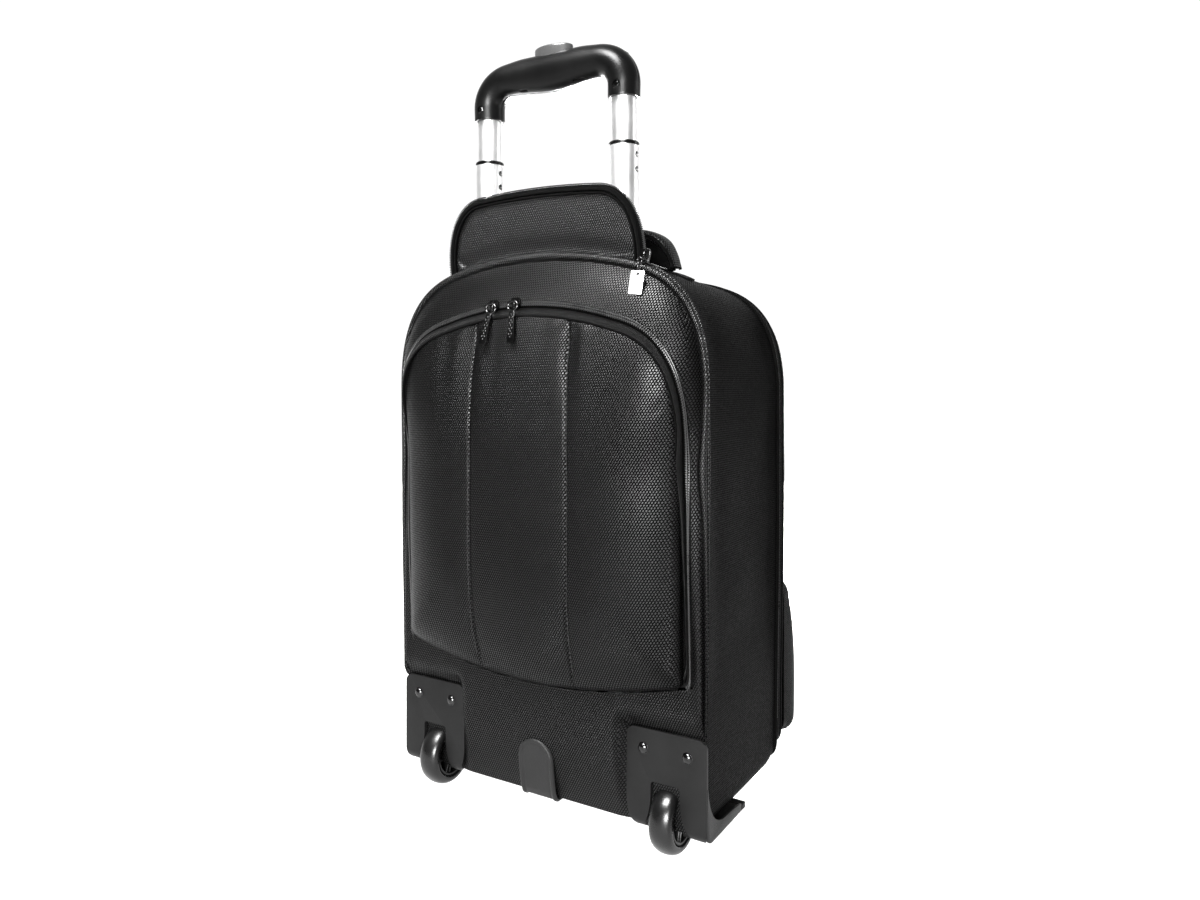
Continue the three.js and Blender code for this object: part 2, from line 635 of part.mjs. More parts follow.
// ---- cover flap over the handle's pocket, standing open ----
const FLAP_HALF = 104;
const FLAP_TOP = 57; // height above the case's top edge
const FLAP_THICK = 6.5;
const FLAP_LEAN = 0.1;
const FLAP_BASE = [-94.2, TOP_Z + 0.9];
function flap() {
  const shape = new THREE.Shape();
  const base = (x) => -CROWN_DROP * (x / CROWN_X) ** 2;
  shape.moveTo(-FLAP_HALF, base(FLAP_HALF));
  for (let i = 1; i <= 12; i += 1) {
    const x = mix(-FLAP_HALF, FLAP_HALF, i / 12);
    shape.lineTo(x, base(x));
  }
  shape.bezierCurveTo(FLAP_HALF + 3, 22, FLAP_HALF - 12, FLAP_TOP - 6, FLAP_HALF - 38, FLAP_TOP - 3);
  shape.quadraticCurveTo(0, FLAP_TOP + 3, -FLAP_HALF + 38, FLAP_TOP - 3);
  shape.bezierCurveTo(-FLAP_HALF + 12, FLAP_TOP - 6, -FLAP_HALF - 3, 22, -FLAP_HALF, base(FLAP_HALF));
  return drawnY(shape, [-FLAP_THICK / 2, FLAP_THICK / 2], 8)
    .rotateX(FLAP_LEAN)
    .translate(0, FLAP_BASE[0], FLAP_BASE[1]);
}
add('handle_flap', flap(), 'twill');

// ---- carry handle ----
const CARRY_Y = -28;
function carryHandle() {
  const points = [[-103, 497], [-99, 510], [-90, 522], [-74, 529.5], [-40, 531.5], [0, 532]];
  const all = [...points, ...points.slice(0, -1).reverse().map(([x, z]) => [-x, z])]
    .map(([x, z]) => new THREE.Vector3(x, CARRY_Y, z));
  const curve = new THREE.CatmullRomCurve3(all);
  const count = 18;
  const sections = [];
  for (let i = 0; i <= count; i += 1) {
    const p = curve.getPointAt(i / count);
    const along = curve.getTangentAt(i / count);
    const out = new THREE.Vector3(-along.z, 0, along.x);
    const halfDepth = mix(8, 13, smooth(497, 525, p.z));
    const section = [];
    for (let k = 0; k < 8; k += 1) {
      const a = (2 * Math.PI * k) / 8;
      section.push(p.clone().addScaledVector(out, 5.2 * Math.cos(a))
        .add(new THREE.Vector3(0, halfDepth * Math.sin(a), 0)));
    }
    sections.push(section);
  }
  return loft(sections);
}
add('carry_handle', carryHandle(), 'twill');

// ---- zip sliders and pulls ----
// A slider is a small domed block with a bridge that the pull hangs from.
function sliderBody() {
  const body = new THREE.Shape();
  body.moveTo(-4, 6);
  body.lineTo(4, 6);
  body.lineTo(5, 1);
  body.lineTo(3.2, -6);
  body.lineTo(-3.2, -6);
  body.lineTo(-5, 1);
  const plate = solid(drawnY(body, [-2.2, 0]));
  const bridge = block([-1.5, 1.5], [-4.2, -2], [-4, 4.5]);
  return join(plate, bridge);
}
// A flat pull tab with a round eye at its upper end; its pivot is at the origin.
function pullTab(length, width, thick) {
  const plate = block([-width / 2, width / 2], [-thick / 2, thick / 2], [-length, -5]);
  const eye = cut(solid(rodY(4.6, [-thick / 2, thick / 2], 0, -2.6, 16)),
    solid(rodY(2.4, [-5, 5], 0, -2.4, 12)));
  return join(plate, eye);
}
const onZipArc = (x) => PANEL_TOP_Z - PANEL_CROWN_DROP * (x / PANEL_CROWN_X) ** 2;
[['left', -31, 0.12], ['right', -7, -0.1]].forEach(([name, x, tilt]) => {
  const z = onZipArc(x);
  add(`front_slider_${name}`, sliderBody().translate([x, ZIP_TOP_Y - 3.2, z]), 'dark_metal');
  const pull = pullTab(34, 8, 1.6)
    .rotate([-13, THREE.MathUtils.radToDeg(tilt), 0])
    .translate([x, ZIP_TOP_Y - 9.6, z - 1]);
  add(`front_pull_${name}`, pull, 'dark_metal');
});

const FLAP_SLIDER = [109.5, -98.2, 500];
add('flap_slider', sliderBody().translate(FLAP_SLIDER), 'dark_metal');
add('flap_pull', pullTab(31, 12.6, 1.4)
  .rotate([-8, 5, 0])
  .translate([FLAP_SLIDER[0] - 1, FLAP_SLIDER[1] - 7.2, FLAP_SLIDER[2] - 2]), 'chrome');

const MAIN_SLIDER_X = 8;
const mainTop = TOP_Z - REAR_DROP;
[['left', -1], ['right', 1]].forEach(([name, side]) => {
  const body = sliderBody().rotate([-90, 0, 90 * side])
    .translate([side * MAIN_SLIDER_X, (SHELL_REAR_Y + COVER_Y) / 2, mainTop + 0.9]);
  add(`main_slider_${name}`, body, 'dark_metal');
});

// ---- brackets, wheels and feet ----
function bracketSide() {
  const R = 11;
  const points = [[BRACKET_Y, BRACKET_TOP_Z]];
  for (let i = 0; i <= 5; i += 1) {
    const a = Math.PI + (Math.PI / 2) * i / 5;
    points.push([BRACKET_Y + R + R * Math.cos(a), SKID_Z + R + R * Math.sin(a)]);
  }
  points.push([SKID_END_Y, SKID_Z], [SKID_END_Y, BASE_Z - 0.5]);
  points.push([BRACKET_Y + PLATE, BASE_Z - 0.5]);
  points.push([BRACKET_Y + PLATE, BRACKET_TOP_Z]);
  return points;
}
function bracketFront() {
  const [l, r, t, b] = [BRACKET_IN, HALF_WIDTH, BRACKET_TOP_Z, SKID_Z - 1];
  const shape = new THREE.Shape();
  shape.moveTo(l + 8, t);
  shape.absarc(l + 8, t - 8, 8, Math.PI / 2, Math.PI, false);
  shape.lineTo(l, b + 26);
  shape.quadraticCurveTo(l + 1, b + 6, l + 12, b);
  shape.lineTo(r - 6, b);
  shape.quadraticCurveTo(r, b + 4, r, b + 16);
  shape.lineTo(r, t - 8);
  shape.absarc(r - 8, t - 8, 8, 0, Math.PI / 2, false);
  return shape;
}
const mirrorX = (body, side) => (side > 0 ? body : body.scale([-1, 1, 1]));
function bracket(side) {
  const plate = solid(drawnX(bracketSide(), [BRACKET_IN, HALF_WIDTH]))
    .intersect(solid(drawnY(bracketFront(), [-130, 20])));
  const housing = block([WELL_IN - 2.6, WELL_OUT + 2.6], [BRACKET_Y + 1, WELL_REAR_Y],
    [SKID_Z + 1, WELL_TOP_Z + 2.8]);
  const well = block([WELL_IN, WELL_OUT], [-140, WELL_REAR_Y - 2.4], [0, WELL_TOP_Z]);
  const bore = solid(rodX(AXLE_R + GAP, [WELL_IN - 6, WELL_OUT + 6], WHEEL_Y, WHEEL_R, 16));
  let body = cut(join(plate, housing), well, bore);
  RIVET_X.forEach((x) => {
    body = cut(body, solid(rodY(2.4, [BRACKET_Y - 5, BRACKET_Y + 10], x, RIVET_Z, 12)));
  });
  return mirrorX(body, side);
}
const skidCap = (side) => mirrorX(block(
  [BRACKET_IN + 14, HALF_WIDTH],
  [SKID_END_Y + GAP, SKID_END_Y + CAP_DEPTH],
  [SKID_Z - 0.6, BASE_Z - 0.4],
), side);

const tyreProfile = () => {
  const side = TYRE_HALF;
  return [
    [RIM_R + GAP, -side], [RIM_R + 4, -side], [WHEEL_R - 2, -side * 0.62], [WHEEL_R, -side * 0.2],
    [WHEEL_R, side * 0.2], [WHEEL_R - 2, side * 0.62], [RIM_R + 4, side], [RIM_R + GAP, side],
    [RIM_R + GAP, -side]];
};
function hub() {
  const rim = solid(turnedX([
    [RIM_R - 2.4, -8], [RIM_R, -8], [RIM_R, 8], [RIM_R - 2.4, 8], [RIM_R - 2.4, -8]], 0, 0, 0, 24));
  const boss = solid(turnedX([
    [AXLE_R + GAP, -10.5], [7.5, -10.5], [7.5, 10.5], [AXLE_R + GAP, 10.5], [AXLE_R + GAP, -10.5]],
  0, 0, 0, 16));
  let body = join(rim, boss);
  for (let i = 0; i < 5; i += 1) {
    const spoke = block([-6, 6], [-1.6, 1.6], [6, RIM_R - 1.2]).rotate([72 * i, 0, 0]);
    body = join(body, spoke);
  }
  return body;
}
[['left', -1], ['right', 1]].forEach(([name, side]) => {
  const x = side * WHEEL_X;
  add(`wheel_bracket_${name}`, bracket(side), 'plastic');
  add(`skid_cap_${name}`, skidCap(side), 'rubber');
  add(`wheel_tyre_${name}`, turnedX(tyreProfile(), x, WHEEL_Y, WHEEL_R, 28), 'rubber');
  add(`wheel_hub_${name}`, hub().translate([x, WHEEL_Y, WHEEL_R]), 'gloss');
  add(`wheel_axle_${name}`, rodX(AXLE_R, [x - 15.5, x + 15.5], WHEEL_Y, WHEEL_R, 16), 'steel');
  RIVET_X.forEach((rx, i) => {
    const stem = solid(rodY(2.05, [BRACKET_Y - 1, BRACKET_Y + PLATE - 0.2], side * rx, RIVET_Z, 12));
    const dome = solid(turned([[0, 0], [RIVET_R, 0], [4.6, 1.1], [3.2, 2], [0, 2.5]], 16)
      .rotateX(Math.PI).translate(side * rx, BRACKET_Y - 0.3, RIVET_Z));
    add(`bracket_rivet_${name}_${i + 1}`, join(stem, dome), 'dark_metal');
  });
  add(`rear_foot_${name}`, turnedZ([[0, 0], [10, 0], [12, 2.5], [13.5, BASE_Z - 3], [13.5, BASE_Z - GAP],
    [0, BASE_Z - GAP]], side * REAR_FOOT_X, REAR_FOOT_Y, 20), 'rubber');
});

// The rubber guard that wraps under the middle of the front's lower edge.
function guard() {
  const side = [[-62, 21], [-62, BASE_Z - 0.4], [-93.9, BASE_Z - 0.4], [-101.2, 77], [-103.9, 77],
    [-97, 24], [-94.5, 21]];
  const front = new THREE.Shape();
  front.moveTo(-GUARD_HALF, 10);
  front.lineTo(GUARD_HALF, 10);
  front.lineTo(GUARD_HALF, GUARD_ARCH_Z);
  front.absarc(0, GUARD_ARCH_Z, GUARD_HALF, 0, Math.PI, false);
  return solid(drawnX(side, [-GUARD_HALF, GUARD_HALF]))
    .intersect(solid(drawnY(front, [-120, -50], 10)));
}
add('centre_guard', guard(), 'rubber');

export default group;
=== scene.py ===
import math
import bmesh
import bpy
import numpy as np
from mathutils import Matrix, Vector, noise


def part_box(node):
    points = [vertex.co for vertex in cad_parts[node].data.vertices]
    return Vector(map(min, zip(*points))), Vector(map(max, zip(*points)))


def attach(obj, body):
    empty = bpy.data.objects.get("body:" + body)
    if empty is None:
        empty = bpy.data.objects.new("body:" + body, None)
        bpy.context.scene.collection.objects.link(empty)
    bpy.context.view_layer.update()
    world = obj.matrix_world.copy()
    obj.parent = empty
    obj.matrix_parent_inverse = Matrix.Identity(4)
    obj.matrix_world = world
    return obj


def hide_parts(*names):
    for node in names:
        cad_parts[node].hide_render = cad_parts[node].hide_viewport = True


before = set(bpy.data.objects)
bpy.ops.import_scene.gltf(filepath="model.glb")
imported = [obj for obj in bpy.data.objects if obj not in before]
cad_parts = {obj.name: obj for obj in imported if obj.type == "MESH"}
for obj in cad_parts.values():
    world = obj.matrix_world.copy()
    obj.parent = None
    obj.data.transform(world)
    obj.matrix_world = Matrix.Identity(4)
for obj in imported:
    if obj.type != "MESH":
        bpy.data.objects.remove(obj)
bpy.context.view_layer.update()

# A wheeled laptop case. Shapes are written in millimetres, in the frame's axes: X across the case,
# Y from the front panel to the back, Z up. They become metres when a mesh is made.
MM = 0.001
UP = np.array([0.0, 0.0, 1.0])
ACROSS = np.array([1.0, 0.0, 0.0])
FORWARD = np.array([0.0, -1.0, 0.0])


# ---- driving sizes, read from the frame ----
def corners(node):
    low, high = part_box(node)
    return np.array(low) / MM, np.array(high) / MM


shell_low, shell_high = corners("bag_shell")
band_low, band_high = corners("front_frame")
cover_low, cover_high = corners("back_cover")
panel_low, panel_high = corners("front_panel")
pocket_low, pocket_high = corners("rear_pocket")
bracket_low, bracket_high = corners("wheel_bracket_right")
GAP = 0.35                                 # air that the frame leaves between neighbours
HALF = band_high[0]                        # half width of the case at its front edge
FOOT = HALF - 2.5                          # half width at the base
BASE = band_low[2]
TOP = band_high[2]
FRONT = shell_low[1]                       # outer face of the shell's front wall
REAR = shell_high[1]
COVER = cover_low[1]
COVER_BACK = cover_high[1]
CROWN_X, CROWN_DROP = 95.0, 12.0           # the top's crown, and its fall at its ends
SHOULDER = TOP - 119.0                     # where the straight sides start to turn in
REAR_DROP = 9.0                            # how much lower the top is at the back
CORNER = 14.0
ZIP_WIDTH = 5.4
SEAM_RISE = 19.0                           # rise of the panel's bottom seam at its ends
SEAM_Z = panel_low[2] - ZIP_WIDTH / 2 - GAP
PANEL_HALF = panel_high[0] + ZIP_WIDTH / 2 + GAP
PANEL_TOP = panel_high[2] + ZIP_WIDTH / 2 + GAP
PANEL_CROWN_X, PANEL_CROWN_DROP = 90.0, 13.5
PANEL_SHOULDER = PANEL_TOP - 98.0
PANEL_CENTRE = 295.0
PANEL_FRONT = panel_low[1]
ZIP_TOP_Y = band_low[1]                    # how far forward the zip lies along the top
ZIP_LEG_Y = ZIP_TOP_Y + 15.0
ZIP_FOOT_Y = ZIP_TOP_Y + 19.0
SEAM_BULGE = 9.0


# ---- small helpers ----
def mix(a, b, t):
    return a + (b - a) * t


def ease(low, high, value):
    t = np.clip((np.asarray(value, float) - low) / (high - low), 0.0, 1.0)
    return t * t * (3.0 - 2.0 * t)


def unit(v):
    v = np.asarray(v, float)
    return v / np.maximum(np.linalg.norm(v, axis=-1, keepdims=True), 1e-9)


def grid_faces(rows, cols, wrap_rows=False, wrap_cols=False):
    faces = []
    for i in range(rows if wrap_rows else rows - 1):
        here, ahead = i * cols, ((i + 1) % rows) * cols
        for k in range(cols if wrap_cols else cols - 1):
            n = (k + 1) % cols
            faces.append((here + k, here + n, ahead + n, ahead + k))
    return faces


def end_caps(rows, cols):
    """The first and last ring of a grid, each closed with one face."""
    return [tuple(range(cols)), tuple(range((rows - 1) * cols, rows * cols))]


def capped_faces(rows, cols):
    return grid_faces(rows, cols, False, True) + end_caps(rows, cols)


def mesh_object(name, points, faces):
    mesh = bpy.data.meshes.new(name)
    mesh.from_pydata((np.asarray(points, float).reshape(-1, 3) * MM).tolist(), [], faces)
    obj = bpy.data.objects.new(name, mesh)
    bpy.context.scene.collection.objects.link(obj)
    clean(obj)
    return obj


def clean(obj):
    """Merges doubled points and turns the faces outward."""
    bm = bmesh.new()
    bm.from_mesh(obj.data)
    bmesh.ops.remove_doubles(bm, verts=bm.verts, dist=0.00001)
    bmesh.ops.recalc_face_normals(bm, faces=bm.faces)
    bm.to_mesh(obj.data)
    bm.free()


def shade(obj, angle=40.0):
    """Smooth shading with sharp edges where faces meet at more than the angle."""
    bm = bmesh.new()
    bm.from_mesh(obj.data)
    limit = math.radians(angle)
    for face in bm.faces:
        face.smooth = True
    for edge in bm.edges:
        edge.smooth = len(edge.link_faces) == 2 and edge.calc_face_angle(0.0) < limit
    bm.to_mesh(obj.data)
    bm.free()


def bake_modifiers(obj):
    bpy.context.view_layer.update()
    graph = bpy.context.evaluated_depsgraph_get()
    mesh = bpy.data.meshes.new_from_object(obj.evaluated_get(graph))
    obj.modifiers.clear()
    obj.data = mesh


def bevel(obj, width, segments=2, angle=35.0):
    m = obj.modifiers.new("Bevel", "BEVEL")
    m.width = width * MM
    m.segments = segments
    m.limit_method = "ANGLE"
    m.angle_limit = math.radians(angle)
    m.use_clamp_overlap = True


def bevelled(obj, width, segments=2, angle=35.0):
    bevel(obj, width, segments, angle)
    bake_modifiers(obj)


def combine(obj, others, operation):
    """Cuts the others from obj, or joins them to it, and removes them."""
    for other in others:
        m = obj.modifiers.new("Cut", "BOOLEAN")
        m.operation = operation
        m.object = other
        m.solver = "EXACT"
    bake_modifiers(obj)
    for other in others:
        bpy.data.objects.remove(other)


def subdivided(obj, levels):
    m = obj.modifiers.new("Subdivide", "SUBSURF")
    m.levels = m.render_levels = levels
    bake_modifiers(obj)


def solidified(obj, thickness):
    """Gives a sheet its thickness on the inner side."""
    m = obj.modifiers.new("Thickness", "SOLIDIFY")
    m.thickness = thickness * MM
    m.offset = -1.0
    m.use_even_offset = True
    bake_modifiers(obj)


def place(obj, material, body, replaces=(), angle=40.0):
    """Finishes a piece: shading, material, the body it rides on and the CAD it stands for."""
    shade(obj, angle)
    obj.data.materials.clear()
    obj.data.materials.append(material)
    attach(obj, body)
    if replaces:
        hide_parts(*replaces)


def piece(name, shape, material, body, replaces=(), angle=40.0):
    """Makes a piece from its points and faces, and finishes it."""
    place(mesh_object(name, *shape), material, body, replaces, angle)


def ellipse(rx, ry, count):
    a = 2 * math.pi * np.arange(count) / count
    return np.stack([rx * np.cos(a), ry * np.sin(a)], axis=1)


def rounded_box_profile(width, height, radius, steps=3):
    points = []
    for cx, cy, quarter in ((1, 1, 0), (-1, 1, 1), (-1, -1, 2), (1, -1, 3)):
        for i in range(steps + 1):
            a = math.pi / 2 * (quarter + i / steps)
            points.append((cx * (width / 2 - radius) + radius * math.cos(a),
                           cy * (height / 2 - radius) + radius * math.sin(a)))
    return np.array(points)


def resample(path, step, closed=False):
    """Even spacing along a path; extra columns of the path are carried along."""
    path = np.asarray(path, float)
    if closed:
        path = np.vstack([path, path[:1]])
    along = np.concatenate([[0.0], np.cumsum(np.linalg.norm(np.diff(path[:, :3], axis=0), axis=1))])
    count = max(2, int(round(along[-1] / step)))
    at = np.linspace(0.0, along[-1], count + 1)
    if closed:
        at = at[:-1]
    return np.stack([np.interp(at, along, path[:, c]) for c in range(path.shape[1])], axis=1)


def path_frames(path, normal, closed=False):
    """Tangent, side and up vectors along a path whose surface faces along normal."""
    if closed:
        tangent = np.roll(path, -1, axis=0) - np.roll(path, 1, axis=0)
    else:
        tangent = np.gradient(path, axis=0)
    tangent = unit(tangent)
    normal = np.broadcast_to(np.asarray(normal, float), path.shape)
    side = unit(np.cross(tangent, normal))
    return tangent, side, unit(np.cross(side, tangent))


def swept(path, side, up, profile, closed=False):
    """Skins one profile along a path. A profile is [across, above] points, one set for all or one each."""
    profile = np.asarray(profile, float)
    if profile.ndim == 2:
        profile = np.broadcast_to(profile, (len(path),) + profile.shape)
    points = path[:, None] + side[:, None] * profile[:, :, :1] + up[:, None] * profile[:, :, 1:]
    rows, cols = points.shape[:2]
    faces = grid_faces(rows, cols, closed, True)
    if not closed:
        faces += end_caps(rows, cols)
    return points.reshape(-1, 3), faces


def merged(parts):
    """Joins several (points, faces) into one."""
    points, faces, start = [], [], 0
    for p, f in parts:
        points.append(np.asarray(p, float).reshape(-1, 3))
        faces += [tuple(start + i for i in face) for face in f]
        start += len(points[-1])
    return np.vstack(points), faces


def repeated(points, faces, origins, x_axis, y_axis, z_axis):
    """Copies a small shape to many places, each with its own axes."""
    placed = (origins[:, None] + x_axis[:, None] * points[None, :, :1]
              + y_axis[:, None] * points[None, :, 1:2] + z_axis[:, None] * points[None, :, 2:])
    return merged([(p, faces) for p in placed])


def box_shape(low, high):
    x0, y0, z0 = low
    x1, y1, z1 = high
    points = [(x, y, z) for z in (z0, z1) for x, y in ((x0, y0), (x1, y0), (x1, y1), (x0, y1))]
    faces = [(3, 2, 1, 0), (4, 5, 6, 7), (0, 1, 5, 4), (1, 2, 6, 5), (2, 3, 7, 6), (3, 0, 4, 7)]
    return np.array(points, float), faces


def turned(profile, count, centre, axis="Z"):
    """A lathe solid from [radius, height] points. A profile that doesn't start on the axis is a ring."""
    profile = np.asarray(profile, float)
    ring = np.allclose(profile[0], profile[-1])
    if ring:
        profile = profile[:-1]
    a = 2 * math.pi * np.arange(count) / count
    rows = np.stack([
        np.stack([r * np.cos(a), r * np.sin(a), np.full(count, h)], axis=1) for r, h in profile])
    faces = grid_faces(len(profile), count, ring, True)
    points = rows.reshape(-1, 3)
    if axis == "X":
        points = points[:, [2, 0, 1]]
    if axis == "Y":
        points = points[:, [1, 2, 0]]
    return points + np.asarray(centre, float), faces


def rod(radius, low, high):
    """The lathe profile of a plain rod."""
    return [(0, low), (radius, low), (radius, high), (0, high)]


def prism(outline_points, depth, axes):
    """A flat outline drawn out between two depths. axes gives the columns of [a, b, depth]."""
    outline_points = np.asarray(outline_points, float)
    n = len(outline_points)
    points = np.zeros((2 * n, 3))
    for row, d in enumerate(depth):
        points[row * n:(row + 1) * n, axes[0]] = outline_points[:, 0]
        points[row * n:(row + 1) * n, axes[1]] = outline_points[:, 1]
        points[row * n:(row + 1) * n, axes[2]] = d
    faces = capped_faces(2, n)
    return points, faces


# ---- materials ----
def new_material(name):
    material = bpy.data.materials.new(name)
    material.use_nodes = True
    tree = material.node_tree
    return material, tree, tree.nodes["Principled BSDF"]


def node(tree, kind, **settings):
    made = tree.nodes.new(kind)
    for key, value in settings.items():
        setattr(made, key, value)
    return made


def arithmetic(tree, operation, a, b=None):
    made = node(tree, "ShaderNodeMath", operation=operation)
    for index, value in enumerate((a, b)):
        if value is None:
            continue
        if isinstance(value, (int, float)):
            made.inputs[index].default_value = value
        else:
            tree.links.new(value, made.inputs[index])
    return made.outputs[0]


def object_millimetres(tree):
    coords = node(tree, "ShaderNodeTexCoord")
    scale = node(tree, "ShaderNodeVectorMath", operation="SCALE")
    scale.inputs["Scale"].default_value = 1.0 / MM
    tree.links.new(coords.outputs["Object"], scale.inputs[0])
    return coords, scale.outputs[0]


def flat_coordinates(tree):
    """Millimetres on the plane that the surface mostly faces, so that a weave needs no UVs."""
    coords, position = object_millimetres(tree)
    normal = node(tree, "ShaderNodeSeparateXYZ")
    tree.links.new(coords.outputs["Normal"], normal.inputs[0])
    place_at = node(tree, "ShaderNodeSeparateXYZ")
    tree.links.new(position, place_at.inputs[0])
    nx, ny, nz = (arithmetic(tree, "ABSOLUTE", normal.outputs[i]) for i in range(3))
    x, y, z = (place_at.outputs[i] for i in range(3))
    faces_x = arithmetic(tree, "GREATER_THAN", nx, arithmetic(tree, "MAXIMUM", ny, nz))
    faces_z = arithmetic(tree, "GREATER_THAN", nz, arithmetic(tree, "MAXIMUM", nx, ny))
    a = arithmetic(tree, "ADD", x, arithmetic(
        tree, "MULTIPLY", faces_x, arithmetic(tree, "SUBTRACT", y, x)))
    b = arithmetic(tree, "ADD", z, arithmetic(
        tree, "MULTIPLY", faces_z, arithmetic(tree, "SUBTRACT", y, z)))
    flat = node(tree, "ShaderNodeCombineXYZ")
    tree.links.new(a, flat.inputs[0])
    tree.links.new(b, flat.inputs[1])
    return flat.outputs[0], position


def noise_fac(tree, position, scale, detail=2.0, roughness=0.5):
    made = node(tree, "ShaderNodeTexNoise")
    made.inputs["Scale"].default_value = scale
    made.inputs["Detail"].default_value = detail
    made.inputs["Roughness"].default_value = roughness
    tree.links.new(position, made.inputs["Vector"])
    return made.outputs["Fac"]


def ramp(tree, fac, low, high, at=(0.0, 1.0)):
    made = node(tree, "ShaderNodeMapRange")
    tree.links.new(fac, made.inputs["Value"])
    for key, value in zip(("From Min", "From Max", "To Min", "To Max"), (*at, low, high)):
        made.inputs[key].default_value = value
    return made.outputs[0]


def mix_colour(tree, fac, a, b):
    made = node(tree, "ShaderNodeMix", data_type="RGBA", blend_type="MIX")
    for index, value in ((0, fac), (6, a), (7, b)):
        if isinstance(value, (int, float)):
            made.inputs[index].default_value = value
        elif isinstance(value, tuple):
            made.inputs[index].default_value = (*value, 1.0)
        else:
            tree.links.new(value, made.inputs[index])
    return made.outputs[2]


def add_bump(tree, shader, height, distance):
    made = node(tree, "ShaderNodeBump")
    made.inputs["Distance"].default_value = distance * MM
    made.inputs["Strength"].default_value = 1.0
    tree.links.new(height, made.inputs["Height"])
    tree.links.new(made.outputs[0], shader.inputs["Normal"])


def grey(value):
    return (value, value, value)


HANDLING_MARKS = 0.15                      # how far wear lightens or darkens moulded plastic


def woven(name, gap_value, yarn, yarn_light, pitch, length, angle, depth, roughness, specular):
    """Cloth whose yarns float in staggered rows, as in a twill or ballistic weave."""
    material, tree, shader = new_material(name)
    flat, position = flat_coordinates(tree)
    turn = node(tree, "ShaderNodeMapping")
    turn.inputs["Rotation"].default_value[2] = math.radians(angle)
    tree.links.new(flat, turn.inputs["Vector"])
    weave = node(tree, "ShaderNodeTexBrick", offset=0.5)
    for key, value in (("Scale", 1.0), ("Mortar Size", pitch * 0.30), ("Mortar Smooth", 0.7),
                       ("Bias", 0.0), ("Brick Width", length), ("Row Height", pitch)):
        weave.inputs[key].default_value = value
    for key, value in (("Color1", grey(yarn)), ("Color2", grey(yarn_light)), ("Mortar", grey(gap_value))):
        weave.inputs[key].default_value = (*value, 1.0)
    tree.links.new(turn.outputs[0], weave.inputs["Vector"])
    wear = ramp(tree, noise_fac(tree, position, 0.02, 3.0), 0.78, 1.22, (0.3, 0.7))
    tinted = node(tree, "ShaderNodeVectorMath", operation="SCALE")
    tree.links.new(weave.outputs["Color"], tinted.inputs[0])
    tree.links.new(wear, tinted.inputs["Scale"])
    tree.links.new(tinted.outputs[0], shader.inputs["Base Color"])
    uneven = ramp(tree, noise_fac(tree, position, 0.35), roughness - 0.06, roughness + 0.06, (0.3, 0.7))
    tree.links.new(uneven, shader.inputs["Roughness"])
    fibre = noise_fac(tree, position, 2.2, 2.0)
    height = arithmetic(tree, "ADD", arithmetic(tree, "SUBTRACT", 1.0, weave.outputs["Fac"]),
                        arithmetic(tree, "MULTIPLY", fibre, 0.25))
    add_bump(tree, shader, height, depth)
    yarn_shine = ramp(tree, weave.outputs["Fac"], specular, specular * 0.04, (0.0, 0.85))
    tree.links.new(yarn_shine, shader.inputs["Specular IOR Level"])
    return material


def ribbed(name, value, pitch, depth, roughness, specular):
    """Satin tape: fine ribs and a soft shine."""
    material, tree, shader = new_material(name)
    flat, position = flat_coordinates(tree)
    split = node(tree, "ShaderNodeSeparateXYZ")
    tree.links.new(flat, split.inputs[0])
    wave = arithmetic(tree, "SINE", arithmetic(
        tree, "MULTIPLY", arithmetic(tree, "ADD", split.outputs[0], split.outputs[1]),
        2 * math.pi / pitch))
    mottled = noise_fac(tree, position, 0.25, 3.0)
    colour = mix_colour(tree, ramp(tree, mottled, 0.0, 1.0, (0.3, 0.7)), grey(value * 0.75),
                        grey(value * 1.25))
    tree.links.new(colour, shader.inputs["Base Color"])
    tree.links.new(ramp(tree, mottled, roughness - 0.05, roughness + 0.08), shader.inputs["Roughness"])
    add_bump(tree, shader, arithmetic(tree, "ADD", wave, mottled), depth)
    shader.inputs["Specular IOR Level"].default_value = specular
    return material


def moulded(name, value, roughness, grain=1.4, depth=0.05, specular=0.3):
    """Moulded plastic or rubber: a fine grain, faint flow marks and handling wear."""
    material, tree, shader = new_material(name)
    _, position = object_millimetres(tree)
    fine = noise_fac(tree, position, grain, 3.0, 0.6)
    broad = noise_fac(tree, position, 0.03, 4.0, 0.6)
    colour = mix_colour(tree, ramp(tree, broad, 0.0, 1.0, (0.3, 0.7)), grey(value * (1 - HANDLING_MARKS)),
                        grey(value * (1 + HANDLING_MARKS)))
    tree.links.new(colour, shader.inputs["Base Color"])
    shine = arithmetic(tree, "ADD", ramp(tree, fine, roughness - 0.04, roughness + 0.04),
                       ramp(tree, broad, -0.05, 0.05, (0.3, 0.7)))
    tree.links.new(shine, shader.inputs["Roughness"])
    add_bump(tree, shader, fine, depth)
    shader.inputs["Specular IOR Level"].default_value = specular
    return material


def metal(name, value, roughness, stretch=(1.0, 1.0, 0.03)):
    """Metal with fine drawn lines along its length and slight tarnish."""
    material, tree, shader = new_material(name)
    _, position = object_millimetres(tree)
    mapping = node(tree, "ShaderNodeMapping")
    mapping.inputs["Scale"].default_value = stretch
    tree.links.new(position, mapping.inputs["Vector"])
    lines = noise_fac(tree, mapping.outputs[0], 4.0, 3.0, 0.7)
    broad = noise_fac(tree, position, 0.05, 3.0)
    colour = mix_colour(tree, ramp(tree, broad, 0.0, 1.0, (0.3, 0.7)), grey(value * 0.94), grey(value))
    tree.links.new(colour, shader.inputs["Base Color"])
    shine = arithmetic(tree, "ADD", ramp(tree, lines, roughness - 0.05, roughness + 0.05),
                       ramp(tree, broad, -0.03, 0.03, (0.3, 0.7)))
    tree.links.new(shine, shader.inputs["Roughness"])
    add_bump(tree, shader, lines, 0.01)
    shader.inputs["Metallic"].default_value = 1.0
    return material


